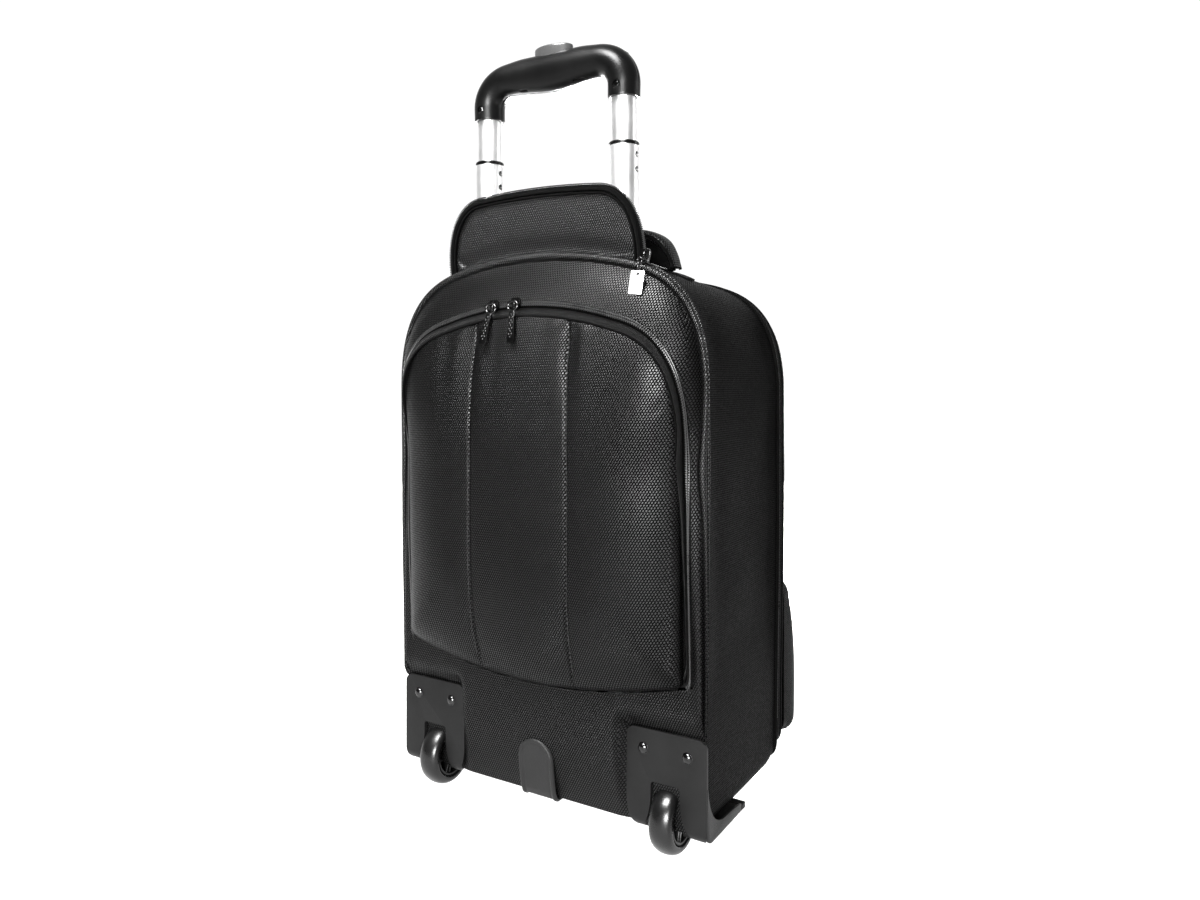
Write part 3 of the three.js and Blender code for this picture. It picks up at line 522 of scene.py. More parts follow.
# Cloth: grey of the gaps and of the two yarns, row height and float length in mm, angle, bump depth,
# roughness and shine.
TWILL = woven("black_twill", 0.0002, 0.0003, 0.0012, 1.95, 2.6, -58.0, 0.18, 0.36, 0.32)
# A copy of the twill for the pipings, flap and carry handle: shinier yarns, and paler yarn colours that are
# a painted highlight.
HIGHLIGHT_TWILL = woven("black_twill_painted_highlight", 0.0002, 0.0004, 0.0016, 1.9, 2.5, -58.0, 0.2, 0.44, 0.55)
GUSSET = woven("black_gusset_cloth", 0.0002, 0.0006, 0.0018, 1.8, 2.2, -58.0, 0.2, 0.46, 0.04)
PLAIN = woven("black_plain_cloth", 0.0002, 0.0006, 0.0018, 0.8, 0.9, 0.0, 0.2, 0.6, 0.05)
LINING = woven("grey_lining", 0.003, 0.008, 0.012, 0.7, 0.8, 0.0, 0.12, 0.6, 0.1)
SATIN = ribbed("black_satin_tape", 0.0020, 0.7, 0.12, 0.42, 0.10)
BINDING = ribbed("black_edge_binding", 0.0010, 0.9, 0.15, 0.5, 0.03)
COIL = moulded("black_nylon_coil", 0.020, 0.3, 2.0, 0.04, specular=0.4)
BRACKET = moulded("grey_bracket_plastic", 0.0048, 0.45, 2.5, 0.10, specular=0.12)
GRIP = moulded("black_grip_plastic", 0.0015, 0.32, 1.8, 0.05, specular=0.16)
BUTTON = moulded("grey_button_plastic", 0.030, 0.26, 2.0, 0.02, specular=0.4)
GLOSS = moulded("black_gloss_plastic", 0.0015, 0.25, 1.5, 0.02, specular=0.2)
INNER = moulded("black_inner_plastic", 0.012, 0.5, 2.0, 0.08)
TYRE = moulded("black_tyre_rubber", 0.0020, 0.27, 1.0, 0.02, specular=0.35)
RUBBER = moulded("black_rubber", 0.0020, 0.5, 2.2, 0.12, specular=0.12)
GUARD = moulded("black_grained_rubber", 0.0080, 0.42, 1.2, 0.25, specular=0.15)
TUBE = metal("satin_aluminium", 0.86, 0.40)
STEEL = metal("zinc_steel", 0.5, 0.32)
DARK_METAL = metal("black_nickel", 0.05, 0.18, (1.0, 1.0, 1.0))
TAG = metal("brushed_white_metal", 0.92, 0.55)
THREAD = ribbed("black_thread", 0.006, 0.5, 0.05, 0.45, 0.25)


# ---- outlines, as [x, z] points from the bottom middle, up the right side and back round ----
def outline(half, foot, base, rise, corner, shoulder, lift, crown_x, crown_z, top):
    points = []
    low = base + rise
    for i in range(32):
        x = (foot - corner) * i / 32
        points.append((x, base + rise * (x / foot) ** 2))
    for i in range(9):
        a = math.pi / 2 * i / 8
        points.append((foot - corner + corner * math.sin(a), low + corner - corner * math.cos(a)))
    for i in range(1, 60):
        z = mix(low + corner, shoulder, i / 60)
        points.append((mix(foot, half, float(ease(low, shoulder - 100, z))), z))
    handle = (crown_x + (half - crown_x) * 0.64, crown_z - lift * 0.18)
    for i in range(41):
        t = i / 40
        a, b, c, d = (1 - t) ** 3, 3 * t * (1 - t) ** 2, 3 * t * t * (1 - t), t ** 3
        points.append((a * half + b * half + c * handle[0] + d * crown_x,
                       a * shoulder + b * (shoulder + lift) + c * handle[1] + d * crown_z))
    for i in range(1, 23):
        x = crown_x * (1 - i / 22)
        points.append((x, top - (top - crown_z) * (x / crown_x) ** 2))
    right = np.array(points)
    left = right[1:-1][::-1] * [-1, 1]
    return np.vstack([right, left])


def bag_section(y, inset=0.0):
    """The case's cross-section at a depth, drawn in by inset."""
    share = (y - FRONT) / (REAR - FRONT)
    back = float(ease(FRONT, REAR, y))
    drop = REAR_DROP * share
    tail = max(0.0, y - 50.0)
    base = BASE + 0.0138 * tail ** 2
    pull = inset + 0.068 * max(0.0, y - COVER - 10.0) ** 2
    flat = outline(HALF - 1.5 - pull, FOOT - 1.5 - pull, base + pull, 0.0, CORNER, SHOULDER - 8 * back,
                   65.0, CROWN_X, TOP - CROWN_DROP - drop - pull, TOP - drop - pull)
    return np.column_stack([flat[:, 0], np.full(len(flat), y), flat[:, 1]])


def edge_loop():
    """The seam round the front of the case."""
    flat = outline(HALF, FOOT, BASE, 0.0, CORNER, SHOULDER, 65.0, CROWN_X, TOP - CROWN_DROP, TOP)
    y = mix(-93.4, -95.0, ease(150, 300, flat[:, 1]))
    return np.column_stack([flat[:, 0], y, flat[:, 1]])


def panel_outline(inset):
    return outline(PANEL_HALF - inset, PANEL_HALF - inset, SEAM_Z + inset, SEAM_RISE, 5.0,
                   PANEL_SHOULDER, 50.0, PANEL_CROWN_X, PANEL_TOP - PANEL_CROWN_DROP - inset,
                   PANEL_TOP - inset)


def zip_depth(x, z):
    """How far forward the fabric stands along the zip and the seam under the panel."""
    legs = mix(ZIP_LEG_Y, ZIP_TOP_Y, ease(320, 432, z))
    seam_end = mix(ZIP_FOOT_Y, legs, ease(150, 260, z))
    on_seam = z < SEAM_Z + SEAM_RISE + 2
    return seam_end - np.where(on_seam, SEAM_BULGE * (1 - (x / PANEL_HALF) ** 2), 0.0)


def panel_loop(inset):
    flat = panel_outline(inset)
    rim = panel_outline(0.0)
    return np.column_stack([flat[:, 0], zip_depth(rim[:, 0], rim[:, 1]), flat[:, 1]])


def coords_of(obj):
    co = np.empty(len(obj.data.vertices) * 3)
    obj.data.vertices.foreach_get("co", co)
    return co.reshape(-1, 3) / MM


def set_coords(obj, points):
    obj.data.vertices.foreach_set("co", (np.asarray(points) * MM).ravel())
    obj.data.update()


def mirror(obj):
    set_coords(obj, coords_of(obj) * [-1, 1, 1])
    obj.data.flip_normals()


def ripple(points, size, amount, seed=0.0):
    """Slow random waves, one value for each point."""
    return amount * np.array([noise.noise(Vector(p / size) + Vector((seed, seed, seed))) for p in points])


PUFF_PRESSURE = 4.0
PUFF_STEPS = 20


def puffed(obj, pinned, cap):
    """Blows a pad up as cloth, held at its pinned points, with its movement capped."""
    rest = coords_of(obj)
    group = obj.vertex_groups.new(name="pinned")
    group.add([int(i) for i in np.nonzero(pinned)[0]], 1.0, "REPLACE")
    cloth = obj.modifiers.new("Cloth", "CLOTH")
    cloth.settings.use_pressure = True
    cloth.settings.uniform_pressure_force = PUFF_PRESSURE
    cloth.settings.effector_weights.gravity = 0.0
    cloth.settings.vertex_group_mass = "pinned"
    cloth.settings.quality = 4
    cloth.collision_settings.use_collision = False
    cloth.point_cache.frame_start = 1
    cloth.point_cache.frame_end = PUFF_STEPS
    for step in range(1, PUFF_STEPS + 1):
        bpy.context.scene.frame_set(step)
    bake_modifiers(obj)
    bpy.context.scene.frame_set(1)
    moved = coords_of(obj) - rest
    length = np.linalg.norm(moved, axis=1, keepdims=True)
    moved *= np.minimum(1.0, cap / np.maximum(length, 1e-6))
    set_coords(obj, rest + moved)
    obj.vertex_groups.clear()


def remeshed(obj, voxel):
    m = obj.modifiers.new("Remesh", "REMESH")
    m.mode = "VOXEL"
    m.voxel_size = voxel * MM
    bake_modifiers(obj)
    m = obj.modifiers.new("Smooth", "SMOOTH")
    m.factor = 0.5
    m.iterations = 3
    bake_modifiers(obj)


def teeth(path, across, up, pitch, reach, width, height, lift):
    """Two rows of nylon coil, with the second row half a pitch on."""
    stations = [(-0.5, 0.5), (-0.3, 1.0), (0.3, 1.0), (0.5, 0.5)]
    ring = ellipse(width / 2, height / 2, 6)
    tooth = np.array([(s * reach, a * k, b * k) for s, k in stations for a, b in ring])
    tooth_faces = capped_faces(len(stations), len(ring))
    parts = []
    for row in (-1, 1):
        run = resample(np.hstack([path, across, up]), pitch)
        if row > 0:
            run = (run[1:] + run[:-1]) / 2
        origin, side, high = run[:, :3], unit(run[:, 3:6]), unit(run[:, 6:])
        origin = origin + side * row * reach * 0.52 + high * lift
        parts.append(repeated(tooth, tooth_faces, origin, side, unit(np.cross(high, side)), high))
    return merged(parts)


# ---- the fabric shell ----
EDGE = edge_loop()
ZIP_LINE = panel_loop(0.0)
SEAM_SHARE = 1 - ease(SEAM_Z + SEAM_RISE - 3, SEAM_Z + SEAM_RISE + 5, ZIP_LINE[:, 2:])
ZIP_RIM = mix(panel_loop(-ZIP_WIDTH / 2 - GAP), panel_loop(0.4), SEAM_SHARE)
PAD_RIM = mix(panel_loop(ZIP_WIDTH / 2 + GAP), panel_loop(0.2), SEAM_SHARE)
COUNT = len(EDGE)
OUTWARD = unit(EDGE - ZIP_RIM)               # from the zip to the edge, in the band's surface
BAND_TANGENT = unit(np.roll(EDGE, -1, axis=0) - np.roll(EDGE, 1, axis=0))
BAND_UP = unit(np.cross(OUTWARD, BAND_TANGENT))
BAND_UP *= np.sign((BAND_UP @ FORWARD))[:, None]
POCKET_HALF = 99.5
POCKET_BACK = -44.6
POCKET_FLOOR = corners("handle_bezel")[0][2]


def crown_height(x, y):
    """Height of the case's top at a place on its crown."""
    share = (y - FRONT) / (REAR - FRONT)
    return TOP - REAR_DROP * share - CROWN_DROP * (np.asarray(x) / CROWN_X) ** 2


def shell_rows():
    turn = 5.0
    rows = [(FRONT + turn * (1 - math.cos(a)), turn * (1 - math.sin(a)))
            for a in np.linspace(0, math.pi / 2, 5)]
    rows[0] = (FRONT + 0.3, turn)
    ys = [POCKET_BACK - 38, POCKET_BACK - 30, POCKET_BACK - 22, POCKET_BACK - 14, POCKET_BACK - 7,
          POCKET_BACK, -38, -30, -20, -10, 0, 10, 20, 30, 40, 48, 54, 60, 65, 70, 73]
    rows += [(y, 0.0) for y in ys]
    rows += [(REAR - 1.2, 0.3), (REAR - 0.2, 1.4)]
    return rows


def bag_body():
    rows = shell_rows()
    grid = np.array([bag_section(y, inset) for y, inset in rows])
    middle = np.array([0.0, 0.0, 260.0])
    for r, (y, _) in enumerate(rows):
        calm = float(ease(FRONT, FRONT + 30, y) * (1 - ease(REAR - 25, REAR - 4, y)))
        flat = grid[r]
        sides = ease(110, 150, np.abs(flat[:, 0])) * ease(110, 180, flat[:, 2]) * (
            1 - ease(430, 470, flat[:, 2]))
        inward = unit((middle - flat) * [1, 0, 0.4])
        sag = 2.6 * calm * sides
        grid[r] = flat + inward * (sag + ripple(flat, 75.0, 2.6, 3.0) * calm * sides)[:, None]
    faces = []
    hole_rows = [r for r, (y, inset) in enumerate(rows[:-1])
                 if inset < 0.5 and y < POCKET_BACK - 1]
    for r in range(len(rows) - 1):
        for k in range(COUNT):
            n = (k + 1) % COUNT
            x0, x1 = grid[r, k, 0], grid[r, n, 0]
            on_top = min(grid[r, k, 2], grid[r, n, 2]) > TOP - 50
            if r in hole_rows and on_top and max(abs(x0), abs(x1)) < POCKET_HALF + 1:
                continue
            if in_wheel_well(grid[r, k], grid[r, n], grid[r + 1, k]):
                continue
            faces.append((r * COUNT + k, r * COUNT + n, (r + 1) * COUNT + n, (r + 1) * COUNT + k))
    obj = mesh_object("bag_body_fabric", grid, faces)
    solidified(obj, 2.2)
    place(obj, GUSSET, "case", ("bag_shell",), 60)


WELL_LOW, WELL_HIGH = 109.0, 142.0         # the wheel's opening, across the case
WELL_BACK = -43.0


def in_wheel_well(*points):
    return all(WELL_LOW < abs(p[0]) < WELL_HIGH and p[1] < WELL_BACK and p[2] < BASE + 3
               for p in points)


def pressed(points):
    """Holds the fabric down behind the brackets."""
    x, y, z = points.T
    under = ease(bracket_low[0] - 5, bracket_low[0] + 1.5, np.abs(x)) * (
        1 - ease(bracket_high[2] + 1.0, bracket_high[2] + 14, z))
    flat = np.maximum(y, FRONT - 0.2)
    return np.column_stack([x, mix(y, flat, under), z])


def front_band():
    """The front's outer band, from the edge seam to the zip, and down over the case's foot."""
    shares = np.linspace(0.0, 1.0, 15)
    width = np.linalg.norm(EDGE - ZIP_RIM, axis=1, keepdims=True)
    rows = []
    for t in shares:
        crown = np.sin(math.pi * t) * np.minimum(4.0, 0.05 * width)
        line = mix(EDGE, ZIP_RIM, t) + BAND_UP * crown
        soft = ripple(line, 45.0, 0.8, 9.0) * math.sin(math.pi * t)
        line = line + BAND_UP * soft[:, None] * np.minimum(1.0, width / 40)
        rows.append(pressed(line))
    obj = mesh_object("front_band_fabric", np.array(rows), grid_faces(len(shares), COUNT, False, True))
    subdivided(obj, 1)
    solidified(obj, 1.2)
    place(obj, TWILL, "case", ("front_frame",), 60)


def front_wall():
    """The lining behind the front panel."""
    shares = np.linspace(0.0, 1.0, 9)
    centre = np.array([0.0, FRONT - 0.3, PANEL_CENTRE])
    rim = np.column_stack([ZIP_RIM[:, 0], np.full(COUNT, FRONT - 0.3), ZIP_RIM[:, 2]])
    rows = [mix(rim, centre, t) for t in shares[:-1]]
    points = np.vstack([np.vstack(rows), centre[None]])
    faces = grid_faces(8, COUNT, False, True)
    last = 7 * COUNT
    faces += [(last + k, last + (k + 1) % COUNT, 8 * COUNT) for k in range(COUNT)]
    obj = mesh_object("front_compartment_lining", points, faces)
    solidified(obj, 0.8)
    place(obj, LINING, "case")


def run_above(loop, height):
    """The indexes of a loop from the right leg, over the top, to the left leg."""
    keep = np.nonzero(loop[:, 2] > height)[0]
    return np.arange(keep[0], keep[-1] + 1)


def edge_piping():
    """The corded piping round the front edge and the thinner one behind it."""
    run = run_above(EDGE, bracket_low[2] + 45)
    edge, out, up = EDGE[run], OUTWARD[run], BAND_UP[run]
    inboard = keep_behind_brackets(edge - out * 3.4 + up * 1.5)
    piece("front_piping", swept(inboard, out, up, ellipse(3.3, 3.1, 16)),
          HIGHLIGHT_TWILL, "case")
    # Dark cords in the creases beside the two pipings: painted shadow.
    for name, at, lift in (("front_piping_shadow_line", -7.3, 0.9), ("edge_piping_shadow_line", -0.2, 0.6)):
        line = keep_behind_brackets(edge + out * at + up * lift)
        shadow_cord(name, line, out, up, 1.1, "case")
    outer = keep_behind_brackets(edge + np.array([0.0, 3.1, 0.0]) + out * 0.1)
    piece("edge_piping", swept(outer, out, up, ellipse(2.1, 2.1, 12)),
          HIGHLIGHT_TWILL, "case")


def shadow_cord(name, line, side, up, radius, body):
    """A dark cord beside a piping: painted shadow for the shaded crease along it."""
    piece(name, swept(line, side, up, ellipse(radius, radius, 8)), BINDING, body)


def keep_behind_brackets(line):
    x, y, z = line.T
    under = ease(bracket_low[0] - 6, bracket_low[0] + 1, np.abs(x)) * (
        1 - ease(bracket_high[2] - 1, bracket_high[2] + 3, z))
    y = mix(y, np.maximum(y, FRONT + 3.2), under)
    x = mix(x, x - np.sign(x) * 3.0, under)
    return np.column_stack([x, y, z + 3.2 * under * (z < BASE + 20)])


def front_zip():
    """Coil and tape of the U-shaped zip."""
    run = run_above(ZIP_LINE, SEAM_Z + SEAM_RISE + 0.5)
    path, out, up = ZIP_LINE[run], OUTWARD[run], BAND_UP[run]
    bed = np.array([(-3.2, -1.4), (3.2, -1.4), (3.2, -0.5), (-3.2, -0.5)])
    points, faces = swept(path, out, up, bed)
    coil = teeth(path, out, up, 2.1, 2.3, 1.2, 1.5, 1.1)
    thread = [swept(path + out * s * 1.1, out, up, ellipse(0.3, 0.3, 5) + [0, 1.8]) for s in (-1, 1)]
    piece("front_zip_coil", merged([coil] + thread), COIL, "case")
    obj = mesh_object("front_zip_bed", points, faces)
    place(obj, BINDING, "case", ("front_zip_track",))
    reach = mix(5.6, 1.6, ease(395, 452, path[:, 2]))
    profile = np.stack([
        np.column_stack([np.full(len(path), 2.4), np.full(len(path), -0.9)]),
        np.column_stack([2.4 + reach, np.full(len(path), -0.9)]),
        np.column_stack([2.4 + reach, np.full(len(path), 0.55)]),
        np.column_stack([2.4 + reach * 0.5, np.full(len(path), 0.75)]),
        np.column_stack([np.full(len(path), 2.4), np.full(len(path), 0.5)])], axis=1)
    piece("front_zip_outer_tape", swept(path, out, up, profile), SATIN, "case")


# ---- the padded front panel ----
SEAM_X = 49.5


def seam_offset(x, z):
    """Distance from the nearer of the panel's two upright seams, which bow a little."""
    bow = 2.2 * np.cos((z - 290) / 165 * math.pi / 2)
    return np.abs(x) - (SEAM_X + bow)


def panel_depth(x, z, share):
    edge = zip_depth(x, z) - 0.5
    return mix(edge, PANEL_FRONT, np.maximum(0.0, 1 - share ** 4) ** 0.6)


def front_panel():
    flat = PAD_RIM[:, [0, 2]]
    front, back = [], []
    for share in (0.02, 0.2, 0.4, 0.55, 0.7, 0.8, 0.87, 0.92, 0.955, 0.98, 1.0):
        x, z = flat[:, 0] * share, mix(PANEL_CENTRE, flat[:, 1], share)
        y = panel_depth(flat[:, 0], flat[:, 1], share)
        front.append(np.column_stack([x, y + 0.6, z]))
        back.append(np.column_stack([x * 0.99, y + 6.6, mix(PANEL_CENTRE, z, 0.99)]))
    points = np.vstack(front + back[::-1])
    obj = mesh_object("front_panel_pad", points, capped_faces(len(front + back), COUNT))
    remeshed(obj, 4.0)
    place_now = coords_of(obj)
    rim_gap = distance_to_loop(place_now, PAD_RIM)
    seams = np.abs(seam_offset(place_now[:, 0], place_now[:, 2]))
    puffed(obj, (rim_gap < 7) | (seams < 3), 3.0)
    subdivided(obj, 2)
    points = coords_of(obj)
    normals = np.empty(len(points) * 3)
    obj.data.vertices.foreach_get("normal", normals)
    facing = ease(0.1, 0.5, -normals.reshape(-1, 3)[:, 1])
    gap = seam_offset(points[:, 0], points[:, 2])
    calm = ease(8, 26, distance_to_loop(points, PAD_RIM))
    valley = 3.4 * np.exp(-np.abs(gap) / 17.0) * calm
    groove = 1.2 * np.exp(-(gap / 1.3) ** 2)
    high = ease(350, 430, points[:, 2]) * ease(5, 16, distance_to_loop(points, PAD_RIM))
    pucker = 1.1 * high * np.cos((gap - 3) / 15 * math.pi) * np.exp(-((gap - 3) / 30) ** 2)
    soft = ripple(points, 60.0, 1.1, 21.0)
    points[:, 1] += facing * (valley + groove + pucker + soft)
    set_coords(obj, points)
    place(obj, TWILL, "front_panel", ("front_panel",), 75)
    panel_stitches(points[points[:, 1] < FRONT - 3])


def panel_stitches(surface):
    """Short stitches along the two seams, laid on the panel's surface."""
    heights = np.arange(SEAM_Z + 24, PANEL_TOP - 34, 4.2)
    bow = SEAM_X + 2.2 * np.cos((heights - 290) / 165 * math.pi / 2) + 1.6
    stitch = np.array([(x, y, z) for z in (-1.5, -0.9, 0.9, 1.5)
                       for x, y in ellipse(0.42 if abs(z) < 1 else 0.2, 0.35 if abs(z) < 1 else 0.15, 6)])
    stitch_faces = capped_faces(4, 6)
    parts = []
    for side in (-1, 1):
        for x, z in zip(bow * side, heights):
            near = surface[((surface[:, 0] - x) ** 2 + (surface[:, 2] - z) ** 2) < 9.0]
            if len(near):
                parts.append((stitch + [x, near[:, 1].min() + 0.1, z], stitch_faces))
    piece("front_panel_stitches", merged(parts), THREAD, "front_panel")


BATCH = 4000                               # points measured at a time, to keep the arrays small


def distance_to_loop(points, loop):
    """Each point's distance to the nearest point of a loop, seen from the front."""
    out = np.empty(len(points))
    for start in range(0, len(points), BATCH):
        part = points[start:start + BATCH]
        squared = ((part[:, None, [0, 2]] - loop[None, :, [0, 2]]) ** 2).sum(-1)
        out[start:start + BATCH] = np.sqrt(squared.min(1))
    return out


def panel_binding():
    """The rolled satin binding just inside the zip, on the panel, with a dark cord beside it as painted
    shadow.
    """
    run = run_above(ZIP_LINE, SEAM_Z + SEAM_RISE + 1)
    path, out, up = PAD_RIM[run], OUTWARD[run], BAND_UP[run]
    path = path - out * 5.3 + up * 0.9
    piece("panel_binding", swept(path, out, up, ellipse(3.9, 3.0, 16)), SATIN, "front_panel")
    # A dark cord in the crease inside the satin binding: painted shadow.
    crease = path - out * 4.6 + up * 0.7
    piece("panel_binding_shadow_line", swept(crease, out, up, ellipse(1.0, 1.3, 8)),
          BINDING, "front_panel")


# ---- the back: zip, cover and pocket ----
def rear_zip():
    middle = (REAR + COVER) / 2
    loop = bag_section(middle, 0.4)
    run = run_above(loop, 66.0)
    path = loop[run]
    out = unit(np.cross(path_frames(path, [0, 1, 0])[0], [0.0, 1.0, 0.0]))
    out *= np.sign((out * (path - [0, middle, 250])).sum(1))[:, None]
    back = np.broadcast_to(np.array([0.0, 1.0, 0.0]), path.shape)
    coil = teeth(path, back, out, 1.5, 2.0, 1.05, 1.3, -0.2)
    piece("rear_zip_coil", coil, COIL, "case")
    bed = np.array([(-1.9, -2.4), (1.9, -2.4), (1.9, -0.9), (-1.9, -0.9)])
    piece("rear_zip_bed", swept(path, back, out, bed), BINDING, "case", ("main_zip_track",))
    edges = (("rear_edge_piping", REAR - 4.4, -0.2, "case", (2.0, 2.0), BINDING),
             ("cover_edge_piping", COVER + 3.6, -0.2, "back_cover", (2.0, 2.0), BINDING),
             ("rear_zip_tape", REAR - 1.9, 0.0, "case", (0.9, 1.5), SATIN),
             ("cover_zip_tape", COVER + 1.2, 0.0, "back_cover", (0.9, 1.5), SATIN))
    for name, y, inset, body, size, material in edges:
        line = bag_section(y, inset)
        _, side, high = path_frames(line, [0, 1, 0], True)
        piece(name, swept(line, side, high, ellipse(*size, 10), True), material, body)


def back_cover():
    """The padded back: a shallow tray of cloth with a softly domed face."""
    rows = [bag_section(y, inset) for y, inset in
            ((COVER + 0.3, 0.8), (COVER + 1.4, 0.0), (COVER + 5, 0.0), (COVER + 10, 0), (COVER + 14, 0),
             (COVER + 18, 0), (COVER + 21, 0), (COVER + 23, 0), (COVER + 24.4, 0))]
    face = bag_section(COVER_BACK, 0.0)
    middle = np.array([0.0, COVER_BACK, 265.0])
    for share in (0.985, 0.96, 0.92, 0.86, 0.78, 0.68, 0.56, 0.42, 0.28, 0.14, 0.03):
        row = mix(middle, face, share)
        row[:, 1] += 2.0 * (1 - share ** 3)
        rows.append(row)
    grid = np.array(rows)
    for r in range(4, len(rows)):
        grid[r, :, 1] += ripple(grid[r], 70.0, 1.0, 14.0)
    faces = grid_faces(len(rows), COUNT, False, True)
    last = (len(rows) - 1) * COUNT
    faces.append(tuple(range(last, last + COUNT)))
    obj = mesh_object("back_cover_fabric", grid, faces)
    solidified(obj, 2.4)
    place(obj, PLAIN, "back_cover", ("back_cover",), 60)


POCKET_POINTS = 180
POCKET_HALF_WIDTH = HALF - 3.0
POCKET_DEPTH = 46.0                        # the loose cloth hangs out further than the frame's pocket
MOUTH_HALF = 125.0
MOUTH_DEPTHS = (0.10, 0.38)                # the mouth's two edges, as shares of the depth


def pocket_y(share):
    """How far back the pocket reaches at a share of its depth."""
    return COVER_BACK + GAP + 2.4 + share * (POCKET_DEPTH - 6)


def pocket_top(share):
    return pocket_high[2] - 112.0 * share


def pocket_section(share):
    """The pocket's outline at a share of its depth: it hangs lower and fuller towards its foot."""
    half = POCKET_HALF_WIDTH * (1 - share * share) ** (1 / 24)
    low = mix(pocket_low[2] - 22, pocket_low[2] - 34, share ** 0.7) + 22 * (1 - math.sqrt(1 - share ** 4))
    high = pocket_top(share)
    corner = 15.0
    right = []
    for z0, quarter in ((low + corner, -1), (high - corner, 0)):
        for i in range(9):
            a = math.pi / 2 * (quarter + i / 8)
            right.append((half - corner + corner * math.cos(a), z0 + corner * math.sin(a)))
    right = np.array(right)
    both = np.vstack([right, right[::-1] * [-1, 1]])
    y = pocket_y(share)
    fine = resample(np.column_stack([both[:, 0], np.full(len(both), y), both[:, 1]]), 1.0, True)
    return fine[np.linspace(0, len(fine) - 1, POCKET_POINTS).astype(int)]


def rear_pocket():
    rows = [pocket_section(share) for share in np.sin(np.linspace(0, 1.33, 15))]
    rows.insert(0, rows[0] - [0, 13.0, 0])
    face = rows[-1]
    centre = face.mean(0)
    for share in (0.97, 0.9, 0.78, 0.62, 0.44, 0.26, 0.08):
        row = mix(centre, face, share)
        row[:, 1] += 3.0 * (1 - share ** 2)
        rows.append(row)
    grid = np.array(rows)
    for r in range(3, len(rows)):
        grid[r, :, 1] += ripple(grid[r], 60.0, 2.0, 31.0)
    faces = grid_faces(len(rows), POCKET_POINTS, False, True)
    last = (len(rows) - 1) * POCKET_POINTS
    faces.append(tuple(range(last, last + POCKET_POINTS)))
    flat = grid.reshape(-1, 3)
    mouth = [pocket_y(share) for share in MOUTH_DEPTHS]
    keep = []
    for face_points in faces:
        x, y, z = flat[list(face_points)].mean(0)
        if mouth[0] < y < mouth[1] and abs(x) < MOUTH_HALF and z > pocket_top(0.5):
            continue
        keep.append(face_points)
    obj = mesh_object("rear_pocket_fabric", grid, keep)
    solidified(obj, 1.8)
    place(obj, GUSSET, "back_cover", ("rear_pocket",), 60)
    rim = [(side * MOUTH_HALF, mouth[edge], pocket_top(MOUTH_DEPTHS[edge]))
           for side, edge in ((-1, 0), (1, 0), (1, 1), (-1, 1))]
    line = resample(np.array(rim), 4.0, True)
    _, side, high = path_frames(line, UP, True)
    piece("rear_pocket_binding", swept(line, side, high, ellipse(1.7, 1.7, 10), True),
          BINDING, "back_cover")


# ---- the handle's pocket and its flap ----
def handle_pocket():
    """The lined well that the handle drops into, and the zip half round its mouth."""
    low_y, high_y = FRONT + 1.4, POCKET_BACK + 0.2
    corner = 5.0
    mid_y, half_y = (low_y + high_y) / 2, (high_y - low_y) / 2
    plan = rounded_box_profile(2 * POCKET_HALF + 0.4, 2 * half_y, corner, 5) + [0, mid_y]
    plan = resample(np.column_stack([plan, np.zeros(len(plan))]), 4.0, True)[:, :2]
    top = crown_height(plan[:, 0], plan[:, 1]) - 0.4
    rows = []
    for share in np.linspace(0, 1, 9):
        pinch = 1 - 0.004 * math.sin(math.pi * share)
        rows.append(np.column_stack([plan[:, 0] * pinch, mid_y + (plan[:, 1] - mid_y) * pinch,
                                     mix(top, POCKET_FLOOR + 0.2, share)]))
    obj = mesh_object("handle_pocket_lining", np.array(rows), grid_faces(9, len(plan), False, True))
    solidified(obj, 0.9)
    place(obj, PLAIN, "case")
    mouth = np.column_stack([plan, top + 0.9])
    _, side, high = path_frames(mouth, UP, True)
    piece("handle_pocket_binding", swept(mouth, side, high, ellipse(2.2, 1.6, 10), True),
          BINDING, "case")
    keep = mouth[:, 1] > low_y + 3
    start = int(np.argmax(~keep & np.roll(keep, -1)))
    open_run = np.roll(mouth, -start - 1, axis=0)
    open_run = open_run[np.roll(keep, -start - 1)]
    _, side, high = path_frames(open_run, UP)
    outward = side * np.sign((side * (open_run - [0, mid_y, TOP])).sum(1))[:, None]
    line = open_run + outward * 2.6 + np.array([0, 0, 0.4])
    piece("handle_pocket_coil", teeth(line, outward, high, 1.5, 1.6, 1.0, 1.2, 0.0),
          COIL, "case")


FLAP_HALF, FLAP_RISE, FLAP_LEAN = 104.0, 57.0, 0.1
FLAP_Y, FLAP_Z = -94.2, TOP + 0.9


def bezier(points, count):
    p = [np.array(q, float) for q in points]
    t = np.linspace(0, 1, count)[:, None]
    if len(p) == 3:
        return (1 - t) ** 2 * p[0] + 2 * t * (1 - t) * p[1] + t * t * p[2]
    return (1 - t) ** 3 * p[0] + 3 * t * (1 - t) ** 2 * p[1] + 3 * t * t * (1 - t) * p[2] + t ** 3 * p[3]


def flap_base(x):
    return -CROWN_DROP * (np.asarray(x) / CROWN_X) ** 2


def flap_edge():
    """The flap's free edge in its own plane, from the right base corner over to the left."""
    low = float(flap_base(FLAP_HALF))
    right = bezier([(FLAP_HALF, low), (FLAP_HALF + 3, 22), (FLAP_HALF - 12, FLAP_RISE - 6),
                    (FLAP_HALF - 38, FLAP_RISE - 3)], 26)
    over = bezier([(FLAP_HALF - 38, FLAP_RISE - 3), (0, FLAP_RISE + 3), (38 - FLAP_HALF, FLAP_RISE - 3)], 30)
    left = right[::-1] * [-1, 1]
    flat = np.vstack([right, over[1:-1], left])
    return resample(np.column_stack([flat, np.zeros(len(flat))]), 2.5)[:, :2]


